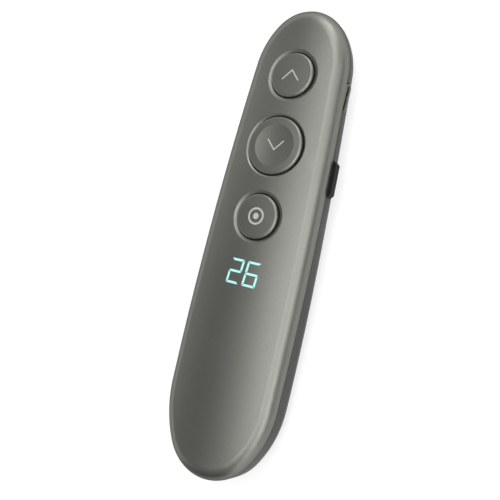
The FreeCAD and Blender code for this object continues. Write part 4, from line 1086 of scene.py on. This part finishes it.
grip_low, grip_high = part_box("receiver_grip")
rib = soft_bar("rib_drawn", (RIB_LENGTH, RIB_WIDTH, RIB_HEIGHT), RIB_RISE)
first_rib = ((grip_low.x + grip_high.x) / 2, (grip_low.y + grip_high.y - (RIB_COUNT - 1) * RIB_STEP) / 2,
             grip_low.z - RIB_RISE + RIB_HEIGHT / 2)
place_row("grip_ribs", rib, RIB_COUNT, first_rib, (0, RIB_STEP, 0), "receiver", "black_plastic")

tongue_low, tongue_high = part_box("receiver_tongue")
contact = soft_bar("contact_drawn", (CONTACT_WIDTH, CONTACT_LENGTH, CONTACT_THICKNESS), CONTACT_THICKNESS / 4)
first_contact = (-(CONTACT_COUNT - 1) * CONTACT_STEP / 2,
                 tongue_high.y - CONTACT_FROM_MOUTH - CONTACT_LENGTH / 2, tongue_low.z)
place_row("plug_contacts", contact, CONTACT_COUNT, first_contact, (CONTACT_STEP, 0, 0), "receiver", "gold")

# %% [markdown]
# ## The seat of the charging port
# In the picture the port is a thin dark line, because a pale seat fills the opening round the port's
# steel shell. The seat is a short tube on the same rounded outline as the shell, and it stands between
# the shell and the wall's surface. The function that drew the plug draws it too.

# %% Port seat
SEAT_REACH = 0.75 * MM
SEAT_WALL = 0.35 * MM
SEAT_CORNER_SHARE = 0.98
SEAT_GREY = linear(116, 117, 113)
port_low, port_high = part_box("port_shell")
port_middle = (port_low + port_high) / 2
port_half = (port_high - port_low) / 2
finish("seat_plastic", SEAT_GREY, grain=0.2, depth=0.003, fleck=0.05, rough=(0.45, 0.55),
       specular_ior_level=0.3)
seat = tube("port_seat", port_half.y, port_half.z, port_half.z * SEAT_CORNER_SHARE, SEAT_WALL,
            port_high.x, port_high.x + SEAT_REACH,
            lambda across, up, along: Vector((along, port_middle.y + across, port_middle.z + up)))
finish_piece(seat, "housing", made["seat_plastic"], "white_plastic")

# %% [markdown]
# ## Small parts on the board
# The smallest parts on the board are little ceramic blocks with a tinned cap at each end. The CAD has
# them as plain blocks. Here one is drawn with soft edges, its ends marked with the value one, and the
# same tree as for the screws sets a copy on each of the CAD's blocks. The material reads the mark.

# %% Ceramic blocks with tinned ends
END_SHARE = 0.5
PASSIVE_EDGE = 0.06 * MM
CERAMIC_BROWN = linear(96, 74, 56)
TIN_GREY = linear(196, 197, 199)
TIN_ROUGHNESS = 0.4
SHARP_FROM = math.radians(60)
PASSIVE_STEPS = 2
CERAMIC_GRAIN = 0.1 * MM
CERAMIC_CHANGE = 0.08
passive_boxes = separate_solids("board_passives")


def build_passive(size):
    """One block along the x axis with its two ends marked."""
    form = plain_block(size)
    for side in (-1, 1):
        bmesh.ops.bisect_plane(form, geom=form.verts[:] + form.edges[:] + form.faces[:],
                               plane_co=(side * size.x / 2 * END_SHARE, 0, 0), plane_no=(1, 0, 0))
    sharp = [edge for edge in form.edges if edge.calc_face_angle(0) > SHARP_FROM]
    bmesh.ops.bevel(form, geom=sharp, offset=PASSIVE_EDGE, segments=PASSIVE_STEPS, profile=0.5,
                    affect="EDGES")
    tinned = form.verts.layers.float.new("tinned")
    for vert in form.verts:
        vert[tinned] = 1.0 if abs(vert.co.x) > size.x / 2 * END_SHARE - MERGE_REACH else 0.0
    return keep_form(form, "passive_drawn")


ceramic, tree, output = new_material("ceramic")
grain = place_group(tree, fine_grain, {"Grain Size": CERAMIC_GRAIN})
mark = add_node(tree, "ShaderNodeAttribute", attribute_name="tinned")
brown = shaded(tree, CERAMIC_BROWN, grain.outputs["Tone"], CERAMIC_CHANGE)
add_surface(tree, output, {"Base Color": mix_colours(tree, mark.outputs["Fac"], brown, TIN_GREY),
                           "Metallic": mark.outputs["Fac"], "Roughness": TIN_ROUGHNESS})

low, high = passive_boxes[0]
drawn = build_passive(high - low)
passives = run_tree("board_passives_tinned", set_at_points, {"Piece": drawn, "Finish": ceramic},
                    [(a + b) / 2 for a, b in passive_boxes])
bpy.data.objects.remove(drawn)
finish_piece(passives, "housing", None, "chip", "board_passives")
